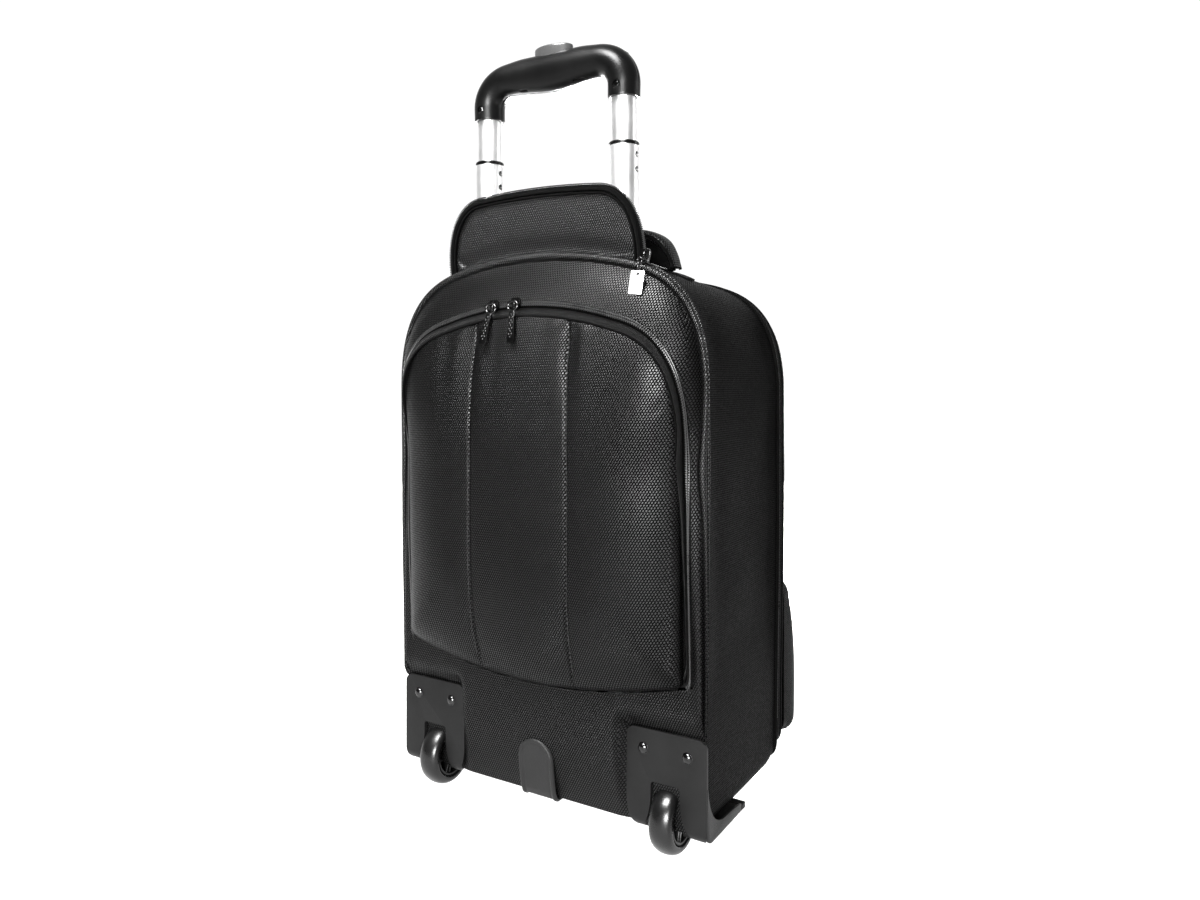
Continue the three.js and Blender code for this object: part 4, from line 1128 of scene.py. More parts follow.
def on_flap(points, forward):
    """From the flap's own plane to the case: up the leaning face, and forward of its middle."""
    points = np.asarray(points, float)
    c, s = math.cos(FLAP_LEAN), math.sin(FLAP_LEAN)
    up, out = points[:, 1], np.broadcast_to(forward, len(points))
    return np.column_stack([points[:, 0], FLAP_Y - out * c - up * s, FLAP_Z + up * c - out * s])


def flap():
    edge = flap_edge()
    base_x = np.linspace(-FLAP_HALF, FLAP_HALF, 60)[1:-1]
    loop = np.vstack([edge, np.column_stack([base_x, flap_base(base_x) - 3.5])])
    centre = np.array([0.0, 22.0])
    rows = []
    for share, out in ((0.05, 2.6), (0.3, 2.6), (0.55, 2.5), (0.75, 2.2), (0.88, 1.6), (0.95, 0.8),
                       (0.985, -0.6), (0.985, -2.2), (0.95, -3.0), (0.8, -3.1), (0.5, -3.1), (0.2, -3.1)):
        rows.append(on_flap(mix(centre, loop, share), out))
    obj = mesh_object("handle_flap_pad", np.vstack(rows), capped_faces(len(rows), len(loop)))
    remeshed(obj, 2.6)
    points = coords_of(obj)
    rim = on_flap(loop, 0.0)
    gap = distance_to_loop(points, rim)
    puffed(obj, gap < 8, 2.0)
    subdivided(obj, 1)
    points = coords_of(obj)
    height = points[:, 2] - FLAP_Z - flap_base(points[:, 0])
    crease = 2.6 * np.exp(-((height - 5) / 7.0) ** 2) * (points[:, 1] < FLAP_Y - 1)
    points[:, 1] += crease + ripple(points, 40.0, 0.5, 5.0)
    set_coords(obj, points)
    place(obj, HIGHLIGHT_TWILL, "flap", ("handle_flap",), 70)
    # A roll under the flap's base closes the gap there. Its dark binding is also painted shade for the
    # shaded crease along that base.
    hinge_x = np.linspace(-FLAP_HALF + 1, FLAP_HALF - 1, 70)
    line = np.column_stack([hinge_x, np.full(70, FLAP_Y + 1.2), FLAP_Z - 1.6 + flap_base(hinge_x)])
    _, side, high = path_frames(line, FORWARD)
    piece("handle_flap_hinge", swept(line, side, high, ellipse(2.6, 1.3, 14)),
          BINDING, "case")
    path = on_flap(edge, 0.0)
    forward = unit(on_flap([(0, 0)], 1.0) - on_flap([(0, 0)], 0.0))[0]
    _, side, high = path_frames(path, forward)
    outward = side * np.sign((side * (path - [0, FLAP_Y, FLAP_Z + 15])).sum(1))[:, None]
    for name, inward, width in (("handle_flap_binding", 2.5, 2.3), ("handle_flap_seam", 6.3, 1.2)):
        trim = path - outward * inward + high * 2.4
        piece(name, swept(trim, outward, high, ellipse(width, 1.8, 14)), BINDING, "flap")
    rail = np.array([(-2.5, -2.6), (0.0, -2.8), (1.3, -1.6), (1.6, 0.0),
                     (1.3, 1.6), (0.0, 2.4), (-2.5, 2.6)])
    piece("handle_flap_tape", swept(path - outward * 0.6, outward, high, rail),
          BINDING, "flap")
    coil = teeth(path + outward * 1.5 + high * 0.4, high, outward, 1.6, 1.7, 1.1, 1.3, 0.2)
    piece("handle_flap_coil", coil, COIL, "flap")


# ---- carry handle ----
CARRY_Y = -28.0


def carry_handle():
    half = [(-103, 497), (-99, 510), (-90, 522), (-74, 529.5), (-40, 531.5), (0, 532)]
    flat = np.array(half + [(-x, z) for x, z in half[:-1][::-1]], float)
    along = np.concatenate([[0], np.cumsum(np.linalg.norm(np.diff(flat, axis=0), axis=1))])
    at = np.linspace(0, along[-1], 400)
    x, z = (np.interp(at, along, flat[:, c]) for c in (0, 1))
    path = np.column_stack([x, np.full(400, CARRY_Y), z])
    for _ in range(120):
        path[1:-1] = (path[:-2] + path[2:] + 2 * path[1:-1]) / 4
    path = resample(path, 3.0)
    across = np.broadcast_to(np.array([0.0, 1.0, 0.0]), path.shape)
    tangent = unit(np.gradient(path, axis=0))
    out = unit(np.cross(across, tangent))
    out *= np.sign((out * (path - [0, CARRY_Y, 480])).sum(1))[:, None]
    ends = mix(8.0, 12.6, ease(499, 524, path[:, 2]))
    thick = mix(2.4, 5.0, ease(502, 526, path[:, 2]))
    a = 2 * math.pi * np.arange(28) / 28
    cos, sin = np.cos(a), np.sin(a)
    ring = np.stack([np.sign(cos) * np.abs(cos) ** 0.7, np.sign(sin) * np.abs(sin) ** 0.8], 1)
    profile = ring[None] * np.stack([ends, thick], axis=1)[:, None]
    obj = mesh_object("carry_handle_pad", *swept(path, across, out, profile))
    subdivided(obj, 1)
    points = coords_of(obj)
    points += ripple(points, 25.0, 0.35, 8.0)[:, None] * [0, 0, 1]
    set_coords(obj, points)
    place(obj, HIGHLIGHT_TWILL, "carry_handle", ("carry_handle",), 70)
    parts = []
    for edge in (-1, 1):
        line = path + across * edge * (ends - 0.3)[:, None]
        parts.append(swept(line, across, out, ellipse(1.4, 1.6, 10)))
    piece("carry_handle_binding", merged(parts), BINDING, "carry_handle")
    depth = 18.0 * ease(58, 88, np.abs(path[:, 0])) + 1.0
    core = np.stack([
        np.column_stack([np.full(len(path), s * 9.0), np.where(low, -depth - 4.0, -3.0)])
        for s, low in ((-1, False), (1, False), (1, True), (-1, True))], axis=1)
    core[:, :, 0] *= (ends / 13.0)[:, None]
    obj = mesh_object("carry_handle_core", *swept(path, across, out, core))
    bevelled(obj, 2.0, 3)
    place(obj, PLAIN, "carry_handle", (), 50)
    tabs = []
    section = bag_section(CARRY_Y, -1.0)
    for side in (-1, 1):
        on_top = (section[:, 2] > TOP - 60) & (section[:, 0] * side > 92) & (section[:, 0] * side < 118)
        line = section[on_top]
        _, _, high = path_frames(line, unit(line - [0, CARRY_Y, 400]).mean(0))
        tabs.append(swept(line, across[:len(line)], high, rounded_box_profile(21, 2.0, 0.8, 2)))
    piece("carry_handle_tabs", merged(tabs), BINDING, "case")


# ---- pull handle ----
TUBE_X, TUBE_Y = 74.4, -74.0
LOCK_HOLES = (593.0, 580.0)
SIDES = (("left", -1), ("right", 1))


TUBE_WALL = 1.2


def tube(name, node_name, body, holes=()):
    low, high = corners(node_name)
    x, radius = (low[0] + high[0]) / 2, (high[0] - low[0]) / 2
    lip = 0.35
    bore = radius - TUBE_WALL
    profile = [(bore, low[2]), (radius - lip, low[2]), (radius, low[2] + lip), (radius, high[2] - lip),
               (radius - lip, high[2]), (bore, high[2]), (bore, low[2])]
    obj = mesh_object(name, *turned(profile, 72, (x, TUBE_Y, 0)))
    drills = [mesh_object("drill", *turned(rod(2.9, x + 5, x + 20), 28, (0, TUBE_Y, z), "X")) for z in holes]
    if drills:
        combine(obj, drills, "DIFFERENCE")
    place(obj, TUBE, body, (node_name,), 30)


def handle_tubes():
    for side_name, _ in SIDES:
        tube(f"outer_pole_{side_name}", f"outer_tube_{side_name}", "case")
        low = corners(f"upper_guide_{side_name}")[0][2]
        tube(f"middle_pole_{side_name}", f"mid_tube_{side_name}", "mid_stage", (*LOCK_HOLES, low + 8))
        tube(f"upper_pole_{side_name}", f"upper_tube_{side_name}", "upper_stage")
        node_name = f"mid_collar_{side_name}"
        low, high = corners(node_name)
        x, radius = (low[0] + high[0]) / 2, (high[0] - low[0]) / 2
        sleeve_z = LOCK_HOLES[-1] - 10
        inner = radius - 1.75
        profile = [(inner, sleeve_z), (radius - 1.45, sleeve_z), (radius - 1.45, low[2]), (radius, low[2]),
                   (radius, high[2] - 0.9), (radius - 0.8, high[2]), (inner, high[2]), (inner, sleeve_z)]
        piece(f"pole_collar_{side_name}", turned(profile, 64, (x, TUBE_Y, 0)),
              GLOSS, "mid_stage", (node_name,), 30)


GRIP_BOTTOM = corners("grip_front")[0][2]
GRIP_BAR = GRIP_BOTTOM + 36.0
GRIP_CORNER = 24.0
SCREW_Z = GRIP_BOTTOM + 9.0


def grip_path():
    turn = GRIP_BAR - GRIP_CORNER
    points = [(-TUBE_X, GRIP_BOTTOM), (-TUBE_X, turn)]
    for i in range(1, 25):
        a = math.pi - math.pi / 2 * i / 24
        points.append((-TUBE_X + GRIP_CORNER * (1 + math.cos(a)), turn + GRIP_CORNER * math.sin(a)))
    flat = np.array(points + [(-x, z) for x, z in points[::-1]])
    return resample(np.column_stack([flat[:, 0], np.full(len(flat), TUBE_Y), flat[:, 1]]), 2.0)


def grip_sections(count):
    """Oval sections along the grip: outward, inward and depth radii vary along it."""
    path = grip_path()
    tangent = unit(np.gradient(path, axis=0))
    out = np.column_stack([-tangent[:, 2], np.zeros(len(path)), tangent[:, 0]])
    middle = ease(0, 1, 1 - np.minimum(1.0, np.abs(path[:, 0]) / 50))
    leg = 1 - ease(GRIP_BOTTOM, GRIP_BAR - 12, path[:, 2])
    r_out = mix(17.2, 14.2, leg) - 2.4 * ease(30, 60, np.abs(path[:, 0])) * (1 - leg)
    r_in = mix(14 + 3.8 * middle, 14.2, leg)
    r_depth = mix(14.9, 14.6, leg)
    a = math.pi * np.arange(count + 1) / count - math.pi / 2
    return path, out, r_out, r_in, r_depth, a


def grip_half(name, sign, node_name):
    """One moulded half, front or back, closed along the parting plane."""
    path, out, r_out, r_in, r_depth, a = grip_sections(28)
    reach = np.sin(a)[None] * np.where(np.sin(a)[None] > 0, r_out[:, None], r_in[:, None])
    lip = 1 - 0.25 * np.exp(-((np.cos(a) * 15) / 0.8) ** 2)[None] / 15
    depth = sign * (np.cos(a)[None] * r_depth[:, None] + 0.12)
    outward = out[:, None] * (reach * lip)[:, :, None]
    points = path[:, None] + outward + np.array([0, 1.0, 0]) * depth[:, :, None]
    rows, cols = points.shape[:2]
    obj = mesh_object(name, points, capped_faces(rows, cols))
    cutters = []
    for _, side in SIDES:
        bore = rod(11.6, GRIP_BOTTOM - 5, GRIP_BOTTOM + 21)
        cutters.append(mesh_object("bore", *turned(bore, 48, (side * TUBE_X, TUBE_Y, 0))))
        if sign < 0:
            seat = rod(3.5, TUBE_Y - 30, TUBE_Y - 12.6)
            cutters.append(mesh_object("seat", *turned(seat, 28, (side * TUBE_X, 0, SCREW_Z), "Y")))
    points, faces = turned(rod(1, GRIP_BAR, GRIP_BAR + 40), 64, (0, 0, 0))
    cutters.append(mesh_object("button_hole", points * [20.8, 10.3, 1] + [0, TUBE_Y, 0], faces))
    for x, width in ((-30, 9), (31, 11)):
        slot_points, slot_faces = box_shape((x - width / 2, TUBE_Y + sign * 6 - 1.4, GRIP_BAR - 22),
                                            (x + width / 2, TUBE_Y + sign * 6 + 1.4, GRIP_BAR - 13.0))
        cutters.append(mesh_object("slot", slot_points, slot_faces))
    combine(obj, cutters, "DIFFERENCE")
    bevelled(obj, 0.5, 2, 50)
    place(obj, GRIP, "upper_stage", (node_name,), 32)


def grip():
    grip_half("grip_front_half", -1, "grip_front")
    grip_half("grip_rear_half", 1, "grip_rear")
    low, high = corners("release_button")
    rim = high[2]
    profile = [(0, GRIP_BAR + 6), (0.97, GRIP_BAR + 6), (1.0, rim - 2.2), (0.985, rim - 0.9),
               (0.94, rim - 0.25), (0.86, rim), (0.80, rim - 0.5), (0.4, rim - 1.1), (0, rim - 1.2)]
    points, faces = turned(profile, 96, (0, 0, 0))
    obj = mesh_object("release_button_cap", points * [20.3, 9.8, 1] + [0, TUBE_Y, 0], faces)
    yoke = mesh_object("yoke", *box_shape((low[0], TUBE_Y - 3, GRIP_BAR + 0.5),
                                          (high[0], TUBE_Y + 3, GRIP_BAR + 4.2)))
    stem = mesh_object("stem", *box_shape((-6, TUBE_Y - 3, GRIP_BAR + 3), (6, TUBE_Y + 3, GRIP_BAR + 8)))
    combine(obj, [yoke, stem], "UNION")
    place(obj, BUTTON, "button", ("release_button",), 35)
    for name, side in SIDES:
        x, z = side * TUBE_X, SCREW_Z
        head = turned([(0, TUBE_Y - 13.2), (2.6, TUBE_Y - 13.2), (2.6, TUBE_Y - 13.9), (2.0, TUBE_Y - 14.3),
                       (0, TUBE_Y - 14.4)], 28, (x, 0, z), "Y")
        obj = mesh_object(f"grip_screw_head_{name}", *head)
        cross = []
        for wide, tall in ((2.9, 0.6), (0.6, 2.9)):
            cross.append(mesh_object("cross", *box_shape((x - wide / 2, TUBE_Y - 16, z - tall / 2),
                                                         (x + wide / 2, TUBE_Y - 13.7, z + tall / 2))))
        combine(obj, cross, "DIFFERENCE")
        place(obj, DARK_METAL, "upper_stage", (f"grip_screw_{name}",), 30)


# ---- wheels, brackets and feet ----
tyre_low, tyre_high = corners("wheel_tyre_right")
WHEEL_R = tyre_high[2] / 2
WHEEL_X = (tyre_low[0] + tyre_high[0]) / 2
WHEEL_Y = (tyre_low[1] + tyre_high[1]) / 2
RIM_R, TYRE_HALF = 20.5, 11.6


def wheel(name, side):
    x = side * WHEEL_X
    centre = (x, WHEEL_Y, WHEEL_R)
    crown = []
    for i in range(25):
        a = math.pi * i / 24 - math.pi / 2
        crown.append((WHEEL_R - 6.8 + 6.8 * max(0.0, math.cos(a)) ** 0.75, TYRE_HALF * math.sin(a) * 0.93))
    profile = [(RIM_R + 0.4, -TYRE_HALF * 0.80), (RIM_R + 1.6, -TYRE_HALF * 0.92)] + crown + [
        (RIM_R + 1.6, TYRE_HALF * 0.92), (RIM_R + 0.4, TYRE_HALF * 0.80), (RIM_R + 0.4, -TYRE_HALF * 0.80)]
    piece(f"tyre_{name}", turned(profile, 112, centre, "X"),
          TYRE, f"wheel_{name}", (f"wheel_tyre_{name}",), 50)
    rim = [(17.6, -8.6), (18.6, -9.6), (20.2, -9.6), (20.4, -8.8), (20.4, 8.8), (20.2, 9.6), (18.6, 9.6),
           (17.6, 8.6), (18.3, 2.0), (18.3, -2.0), (17.6, -8.6)]
    boss = [(4.4, -10.4), (6.4, -10.4), (7.4, -9.4), (7.8, 0), (7.4, 9.4), (6.4, 10.4), (4.4, 10.4),
            (4.4, -10.4)]
    web = [(7.0, -1.2), (18.0, -1.2), (18.0, 1.2), (7.0, 1.2), (7.0, -1.2)]
    parts = [turned(profile, 96, centre, "X") for profile in (rim, boss, web)]
    for i in range(5):
        for offset in (-2.4, 2.4):
            p, f = box_shape((-8.6, offset - 0.8, 6.6), (8.6, offset + 0.8, 18.6))
            a = 2 * math.pi * (i + 0.2) / 5
            c, s = math.cos(a), math.sin(a)
            turned_p = np.column_stack([p[:, 0], p[:, 1] * c - p[:, 2] * s, p[:, 1] * s + p[:, 2] * c])
            parts.append((turned_p + centre, f))
    obj = mesh_object(f"hub_{name}", *merged(parts))
    bevelled(obj, 0.35, 2)
    place(obj, GLOSS, f"wheel_{name}", (f"wheel_hub_{name}",), 35)
    ends = [(0, -15.5), (3.2, -15.5), (4.0, -14.8), (4.0, 14.8), (3.2, 15.5), (0, 15.5)]
    piece(f"axle_{name}", turned(ends, 40, centre, "X"),
          STEEL, "case", (f"wheel_axle_{name}",), 35)


BRACKET_Y = bracket_low[1]
BRACKET_IN = bracket_low[0]
BRACKET_TOP = bracket_high[2]
SKID_Z = bracket_low[2]
SKID_END = -22.0
PLATE = 3.2
WELL_IN, WELL_OUT, WELL_TOP, WELL_REAR = 111.9, 138.9, 61.7, -46.0
RIVETS = ("1", 104.9), ("2", 145.9)
RIVET_Z = 87.9


def arc(cx, cy, radius, start, end, count=10):
    a = np.radians(np.linspace(start, end, count))
    return np.column_stack([cx + radius * np.cos(a), cy + radius * np.sin(a)])


def bracket(name, side):
    outer = 11.0
    fillet = 15.0
    top_y, low_z = BRACKET_Y + PLATE, BASE - 0.5
    flange = np.vstack([
        [(BRACKET_Y, BRACKET_TOP)],
        arc(BRACKET_Y + outer, SKID_Z + outer, outer, 180, 270, 12),
        [(SKID_END, SKID_Z), (SKID_END, low_z)],
        arc(top_y + fillet, low_z + fillet, fillet, 270, 180, 10),
        [(top_y, BRACKET_TOP)]])
    x0, x1 = BRACKET_IN, bracket_high[0]
    points, faces = prism(flange, (x0, x1), (1, 2, 0))
    obj = mesh_object(f"corner_bracket_{name}", points, faces)
    t, b = BRACKET_TOP, SKID_Z - 1
    face = np.vstack([
        arc(x1 - 8, t - 8, 8, 0, 90), arc(x0 + 8, t - 8, 8, 90, 180),
        bezier([(x0, b + 26), (x0 + 1, b + 6), (x0 + 12, b)], 10),
        bezier([(x1 - 6, b), (x1, b + 4), (x1, b + 16)], 8)])
    combine(obj, [mesh_object("face", *prism(face, (-130, 20), (0, 2, 1)))], "INTERSECT")
    housing = mesh_object("housing", *box_shape((WELL_IN - 2.6, BRACKET_Y + 1, SKID_Z + 1),
                                                (WELL_OUT + 2.6, WELL_REAR, WELL_TOP + 2.8)))
    combine(obj, [housing], "UNION")
    opening = np.vstack([
        [(WELL_OUT, -5), (WELL_OUT, WELL_TOP - 3)], arc(WELL_OUT - 3, WELL_TOP - 3, 3, 0, 90, 6),
        arc(WELL_IN + 3, WELL_TOP - 3, 3, 90, 180, 6), [(WELL_IN, -5)]])
    well = mesh_object("well", *prism(opening, (-140, WELL_REAR - 2.4), (0, 2, 1)))
    flare = np.vstack([
        bezier([(WELL_OUT, 50), (WELL_OUT + 1, SKID_Z + 8), (WELL_OUT + 15, SKID_Z - 2)], 12),
        bezier([(WELL_IN - 12, SKID_Z - 2), (WELL_IN - 1, SKID_Z + 8), (WELL_IN, 50)], 12)])
    mouth = mesh_object("mouth", *prism(flare, (-140, BRACKET_Y + 7), (0, 2, 1)))
    combine(obj, [well, mouth], "DIFFERENCE")
    bore = mesh_object("bore", *turned(rod(4.3, WELL_IN - 6, WELL_OUT + 6), 32, (0, WHEEL_Y, WHEEL_R), "X"))
    combine(obj, [bore], "DIFFERENCE")
    if side < 0:
        mirror(obj)
    bevelled(obj, 0.9, 3, 40)
    place(obj, BRACKET, "case", (f"wheel_bracket_{name}",), 40)
    lip = np.vstack([
        [(BRACKET_Y + 1.2, 66)], arc(BRACKET_Y + outer + 0.4, SKID_Z + outer + 0.4, outer, 180, 270, 12),
        [(SKID_END - 0.6, SKID_Z + 0.4), (SKID_END - 0.6, BASE + 1.5), (SKID_END - 12, BASE + 3.5)],
        bezier([(BRACKET_Y + 34, BASE + 5), (BRACKET_Y + 7, BASE + 9), (BRACKET_Y + PLATE, 66)], 16)])
    obj = mesh_object(f"bracket_lip_{name}", *prism(lip, (x1 - 1.7, x1 + 0.3), (1, 2, 0)))
    if side < 0:
        mirror(obj)
    bevelled(obj, 0.4, 2, 40)
    place(obj, BRACKET, "case", (), 40)
    for number, x in RIVETS:
        dome = [(0, 2.5), (1.6, 2.35), (3.2, 1.75), (4.3, 0.9), (4.6, 0.3), (5.0, 0.15), (5.0, 0.0),
                (2.05, 0.0), (2.05, -2.6), (0, -2.6)]
        profile = [(r, BRACKET_Y - 0.25 - h) for r, h in dome]
        piece(f"rivet_{name}_{number}", turned(profile, 40, (side * x, 0, RIVET_Z), "Y"),
              DARK_METAL, "case", (f"bracket_rivet_{name}_{number}",), 40)
    low, high = corners(f"skid_cap_{name}")
    obj = mesh_object(f"skid_end_{name}", *box_shape(low, high))
    bevelled(obj, 1.1, 3)
    place(obj, RUBBER, "case", (f"skid_cap_{name}",), 40)
    low, high = corners(f"rear_foot_{name}")
    centre = ((low[0] + high[0]) / 2, (low[1] + high[1]) / 2, 0)
    foot = [(0, 0), (9.4, 0), (10.4, 0.3), (12, 2.5), (12.6, 8), (13.0, 14), (13.5, high[2] - 2.6),
            (13.5, high[2]), (0, high[2])]
    piece(f"foot_{name}", turned(foot, 56, centre), RUBBER, "case", (f"rear_foot_{name}",), 40)


def centre_guard():
    """A rubber tongue with a raised sewn edge, from the front's foot round under the base."""
    spine = np.array([(-62, 22.4), (-80, 22.2), (-92, 22.2), (-96.0, 24.5), (-98.2, 30), (-100.6, 44),
                      (-102.6, 60), (-103.4, 77)])
    flat = resample(np.column_stack([np.zeros(len(spine)), spine]), 1.0)
    steps = len(flat)
    half_width = 19.0
    length = np.arange(steps)
    from_top = (steps - 1 - length).astype(float)
    round_part = np.clip(from_top / half_width, 0, 1)
    width = half_width * np.sqrt(np.maximum(0.0006, 1 - (1 - round_part) ** 2))
    tangent = unit(np.gradient(flat, axis=0))
    normal = np.column_stack([np.zeros(steps), -tangent[:, 2], tangent[:, 1]])
    u = np.concatenate([np.linspace(-1, -0.7, 13), np.linspace(-0.65, 0.65, 14), np.linspace(0.7, 1, 13)])
    x = width[:, None] * u[None]
    to_edge = np.minimum(width[:, None] - np.abs(x), from_top[:, None] + 0.4)
    to_top = np.hypot(x, np.maximum(0.0, half_width - from_top)[:, None])
    to_edge = np.where(from_top[:, None] < half_width, half_width - to_top, to_edge)
    raised = 0.9 * np.exp(-((to_edge - 2.4) / 1.5) ** 2) - 0.3 * np.exp(-((to_edge - 5.2) / 0.8) ** 2)
    thick = 1.6 * ease(-0.2, 1.2, to_edge) + raised
    top = flat[:, None] + normal[:, None] * thick[:, :, None]
    top[:, :, 0] = x
    under = np.broadcast_to(flat[:, None], top.shape).copy()
    under[:, :, 0] = x
    cols = len(u)
    points = np.concatenate([top, under[:, ::-1]], axis=1)
    obj = mesh_object("base_guard", points, capped_faces(steps, 2 * cols))
    place(obj, GUARD, "case", ("centre_guard",), 55)


# ---- zip sliders and pulls ----
def slider_shape():
    """A zip slider: a waisted plate and a looped bridge, facing -Y with its nose up."""
    outline_points = np.vstack([
        bezier([(-3.0, -6), (-3.6, -2), (-4.9, 0), (-5.0, 2.4)], 8),
        bezier([(-5.0, 2.4), (-5.0, 5.2), (-3.2, 6)], 5),
        bezier([(3.2, 6), (5.0, 5.2), (5.0, 2.4)], 5),
        bezier([(5.0, 2.4), (4.9, 0), (3.6, -2), (3.0, -6)], 8)])
    plate = prism(outline_points, (-2.6, -0.2), (0, 2, 1))
    line = np.column_stack([np.zeros(14), -2.4 - 2.5 * np.sin(np.linspace(0, math.pi, 14)),
                            np.linspace(4.6, -4.2, 14)])
    outward = unit(np.cross(ACROSS, unit(np.gradient(line, axis=0))))
    bridge = swept(line, np.broadcast_to(ACROSS, line.shape), outward, rounded_box_profile(2.6, 1.2, 0.5, 2))
    return merged([plate, bridge])


def turn_points(points, ry=0.0, rx=0.0, rz=0.0):
    """Turns points about X, then Y, then Z, by degrees."""
    points = np.asarray(points, float)
    for angle, (a, b) in ((rx, (1, 2)), (ry, (2, 0)), (rz, (0, 1))):
        c, s = math.cos(math.radians(angle)), math.sin(math.radians(angle))
        out = points.copy()
        out[:, a] = points[:, a] * c - points[:, b] * s
        out[:, b] = points[:, a] * s + points[:, b] * c
        points = out
    return points


def torus(radius, thick, plane=(0, 2, 1)):
    count = 40
    a = 2 * math.pi * np.arange(count) / count
    path = np.zeros((count, 3))
    path[:, plane[0]] = radius * np.cos(a)
    path[:, plane[1]] = radius * np.sin(a)
    normal = np.zeros(3)
    normal[plane[2]] = 1.0
    _, side, high = path_frames(path, normal, True)
    return swept(path, side, high, ellipse(thick, thick, 12), True)


def front_pull(name, x, tilt):
    """A studded metal pull on a wire loop."""
    z = PANEL_TOP - PANEL_CROWN_DROP * (x / PANEL_CROWN_X) ** 2
    seat = np.array([x, ZIP_TOP_Y - 3.2, z])
    points, faces = slider_shape()
    obj = mesh_object(f"front_zip_slider_{name}", points + seat, faces)
    bevelled(obj, 0.45, 2)
    place(obj, DARK_METAL, f"front_slider_{name}", (f"front_slider_{name}",), 40)
    body = np.array([(-2.6, -5.5), (-4.1, -31.0), (-3.2, -34.0), (3.2, -34.0), (4.1, -31.0), (2.6, -5.5)])
    loop, loop_faces = torus(4.3, 1.1)
    parts = [prism(body, (-1.0, 1.0), (0, 2, 1)), (loop * [1.2, 1, 1] + [0, 0, -0.6], loop_faces)]
    studs = []
    for row in range(9):
        for k in (-1, 1) if row % 2 else (0,):
            stud = turned([(0.0, -1.9), (0.55, -1.75), (0.95, -1.3), (1.05, -0.8), (0.0, -0.8)], 12,
                          (k * 1.5, 0, -9.0 - row * 2.5), "Y")
            studs.append(stud)
    shape, faces = merged(parts + studs)
    shape = turn_points(shape, math.degrees(tilt), -13)
    obj = mesh_object(f"front_zip_pull_{name}", shape + [x, ZIP_TOP_Y - 9.6, z - 1], faces)
    bevelled(obj, 0.3, 2)
    place(obj, DARK_METAL, f"front_pull_{name}", (f"front_pull_{name}",), 40)


def flap_zip_pull():
    low, high = corners("flap_slider")
    seat = np.array([(low[0] + high[0]) / 2, high[1], (low[2] + high[2]) / 2])
    points, faces = slider_shape()
    obj = mesh_object("flap_zip_slider", points + seat, faces)
    bevelled(obj, 0.45, 2)
    place(obj, DARK_METAL, "case", ("flap_slider",), 40)
    corner_arcs = ((5.1, -12.2, 0), (-5.1, -12.2, 90), (-5.1, -29.8, 180), (5.1, -29.8, 270))
    tag = np.vstack([arc(x, z, 1.2, start, start + 90, 4) for x, z, start in corner_arcs])
    plate = mesh_object("flap_zip_tag", *prism(tag, (-0.7, 0.7), (0, 2, 1)))
    eye = mesh_object("eye", *turned(rod(1.5, -3, 3), 24, (0, 0, -14), "Y"))
    combine(plate, [eye], "DIFFERENCE")
    bevelled(plate, 0.25, 2)
    links = merged([
        (torus(2.4, 0.75)[0] * [0.9, 1, 1] + [0, 0, -2.4], torus(2.4, 0.75)[1]),
        (torus(2.6, 0.8, (1, 2, 0))[0] * [1, 0.8, 1.25] + [0, 0, -7.0], torus(2.6, 0.8)[1]),
        (torus(2.2, 0.7)[0] * [0.9, 1, 1] + [0, 0, -11.8], torus(2.2, 0.7)[1])])
    chain = mesh_object("flap_zip_chain", *links)
    pivot = seat + [-1, -8.6, -2]
    for obj, material, slot in ((plate, TAG, "chrome_tag"), (chain, DARK_METAL, "dark_metal")):
        set_coords(obj, turn_points(coords_of(obj), 5, -8) + pivot)
        place(obj, material, "flap_pull", ("flap_pull",) if obj is plate else (), 40)


def main_sliders():
    for name, side in SIDES:
        node_name = f"main_slider_{name}"
        low, high = corners(node_name)
        points, faces = slider_shape()
        points = turn_points(points, 0, -90, 90 * side)
        middle = (points.min(0) + points.max(0)) / 2
        seat = (low + high) / 2
        shape = points - middle + seat
        obj = mesh_object(f"rear_zip_slider_{name}", shape, faces)
        bevelled(obj, 0.4, 2)
        place(obj, DARK_METAL, node_name, (node_name,), 40)


# ---- inside, and the frame's own pieces ----
def divider():
    low, high = corners("laptop_divider")
    mid = (low + high) / 2
    half_x, half_z = (high[0] - low[0]) / 2, (high[2] - low[2]) / 2
    rim = rounded_box_profile(2 * half_x, 2 * half_z, 18, 8)
    rows = []
    for share, y in ((0.03, -2.4), (0.5, -2.45), (0.9, -2.3), (0.985, -1.6), (1.0, 0), (0.985, 1.6),
                     (0.9, 2.3), (0.5, 2.45), (0.03, 2.4)):
        rows.append(np.column_stack([mid[0] + rim[:, 0] * share, np.full(len(rim), mid[1] + y),
                                     mid[2] + rim[:, 1] * share]))
    n = len(rim)
    obj = mesh_object("laptop_divider_pad", np.vstack(rows), capped_faces(len(rows), n))
    place(obj, LINING, "case", ("laptop_divider",), 50)
    line = np.column_stack([mid[0] + rim[:, 0], np.full(n, mid[1]), mid[2] + rim[:, 1]])
    _, side, up = path_frames(line, [0, 1, 0], True)
    piece("laptop_divider_binding", swept(line, side, up, ellipse(1.6, 2.4, 10), True),
          BINDING, "case")


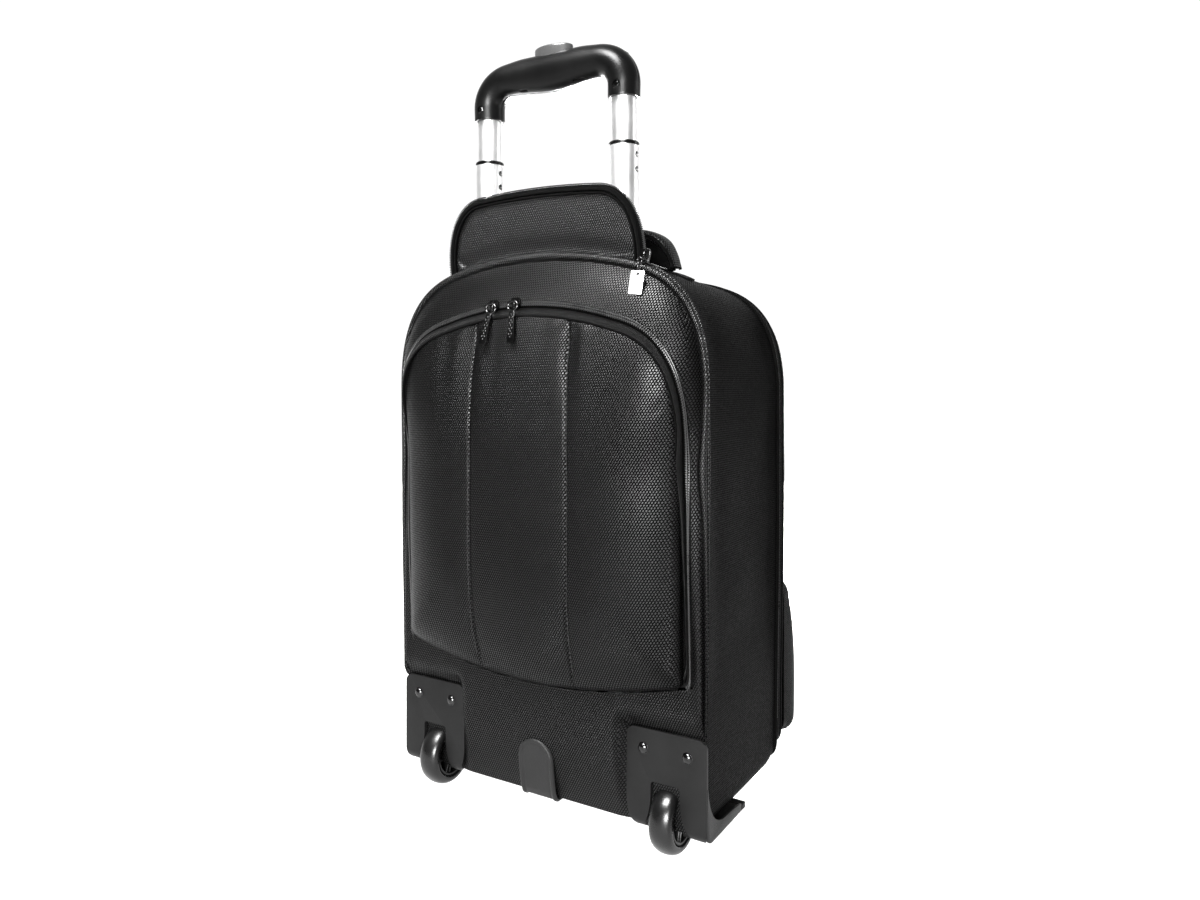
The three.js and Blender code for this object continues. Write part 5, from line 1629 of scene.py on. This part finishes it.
def finish_frame_nodes():
    """Materials and softened edges for the frame's own pieces that stay in view."""
    looks = {"handle_board": (INNER, 0.4), "base_tray": (INNER, 0.6), "handle_bezel": (GLOSS, 0.7),
             "button_spring": (STEEL, 0.1)}
    for name, _ in SIDES:
        looks.update({f"mid_guide_{name}": (INNER, 0.3), f"upper_guide_{name}": (INNER, 0.3),
                      f"lock_pin_{name}": (STEEL, 0.3), f"release_rod_{name}": (STEEL, 0.2)})
    for name, (material, width) in looks.items():
        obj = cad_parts[name]
        obj.data.materials.clear()
        obj.data.materials.append(material)
        bevel(obj, width, 2, 30)
        m = obj.modifiers.new("Normals", "WEIGHTED_NORMAL")
        m.keep_sharp = True


# ---- stage, light and camera ----
AWAY = (-0.52, 0.854, 0.0)                 # level direction from the camera into the scene
CAMERA_AT = (0.46582, -0.75752, 0.40295)
CAMERA_TURN = 31.33                        # degrees from facing straight along Y
CAMERA_LENS = 26.93
CAMERA_SHIFT = -0.0645
LIGHT_AIM = (0, -0.02, 0.33)
LIGHTS = (                                 # name, place and size in metres, watts
    ("key", (0.96, -2.47, 0.78), (1.0, 0.8), 225.0),
    ("top", (-0.1, -1.2, 2.23), (1.0, 0.8), 200.0),
    ("rim", (1.9, 1.5, 0.8), (0.4, 1.2), 12.0),
    ("back", (-0.8, 2.4, 0.35), (1.0, 0.5), 420.0),
    ("left", (-1.9, 1.7, 0.4), (0.6, 0.6), 45.0))


def reach_along(tree, vector, direction):
    """How far a vector reaches along a direction."""
    made = node(tree, "ShaderNodeVectorMath", operation="DOT_PRODUCT")
    made.inputs[1].default_value = direction
    tree.links.new(vector, made.inputs[0])
    return made.outputs["Value"]


def pale_floor():
    """A pale floor that glows past the case, as the camera sees it."""
    bpy.ops.mesh.primitive_plane_add(size=90, location=(0, 0, -0.0004))
    floor = bpy.context.object
    floor.name = "floor"
    material, tree, shader = new_material("pale_floor")
    _, position = object_millimetres(tree)
    tree.links.new(mix_colour(tree, noise_fac(tree, position, 0.002, 2.0), grey(0.16), grey(0.18)),
                   shader.inputs["Base Color"])
    shader.inputs["Roughness"].default_value = 0.7
    shader.inputs["Emission Color"].default_value = (1, 1, 1, 1)
    reach = reach_along(tree, position, tuple(v * MM for v in AWAY))
    tree.links.new(ramp(tree, reach, 0.2, 0.93, (-0.27, -0.21)), shader.inputs["Emission Strength"])
    floor.data.materials.append(material)


def surroundings():
    """A white backdrop facing the camera, and dimmer light all round."""
    world = bpy.data.worlds.new("studio")
    bpy.context.scene.world = world
    world.use_nodes = True
    tree = world.node_tree
    background = tree.nodes["Background"]
    background.inputs["Color"].default_value = (1, 1, 1, 1)
    reach = reach_along(tree, node(tree, "ShaderNodeTexCoord").outputs["Generated"], AWAY)
    around = ramp(tree, reach, 0.12, 0.5, (0.05, 0.4))
    backdrop = ramp(tree, reach, 0.0, 0.56, (0.64, 0.73))
    tree.links.new(arithmetic(tree, "ADD", around, backdrop), background.inputs["Strength"])


def lights():
    for name, at, size, power in LIGHTS:
        data = bpy.data.lights.new(name, "AREA")
        data.shape = "RECTANGLE"
        data.size, data.size_y = size
        data.energy = power
        light = bpy.data.objects.new(name, data)
        light.location = at
        light.rotation_euler = (Vector(LIGHT_AIM) - Vector(at)).to_track_quat("-Z", "Y").to_euler()
        bpy.context.scene.collection.objects.link(light)


def camera():
    data = bpy.data.cameras.new("camera")
    data.sensor_width = 36.0
    data.lens = CAMERA_LENS
    data.shift_y = CAMERA_SHIFT
    data.clip_end = 30.0
    made = bpy.data.objects.new("camera", data)
    made.location = CAMERA_AT
    made.rotation_euler = (math.radians(90), 0, math.radians(CAMERA_TURN))
    bpy.context.scene.collection.objects.link(made)
    bpy.context.scene.camera = made


camera()
bag_body()
front_band()
front_wall()
edge_piping()
front_zip()
front_panel()
panel_binding()
rear_zip()
back_cover()
rear_pocket()
handle_pocket()
flap()
carry_handle()
handle_tubes()
grip()
for wheel_name, wheel_side in SIDES:
    wheel(wheel_name, wheel_side)
    bracket(wheel_name, wheel_side)
centre_guard()
for pull_name, pull_x, pull_tilt in (("left", -31, 0.12), ("right", -7, -0.1)):
    front_pull(pull_name, pull_x, pull_tilt)
flap_zip_pull()
main_sliders()
divider()
finish_frame_nodes()
pale_floor()
surroundings()
lights()
bpy.context.scene.view_settings.view_transform = "Standard"
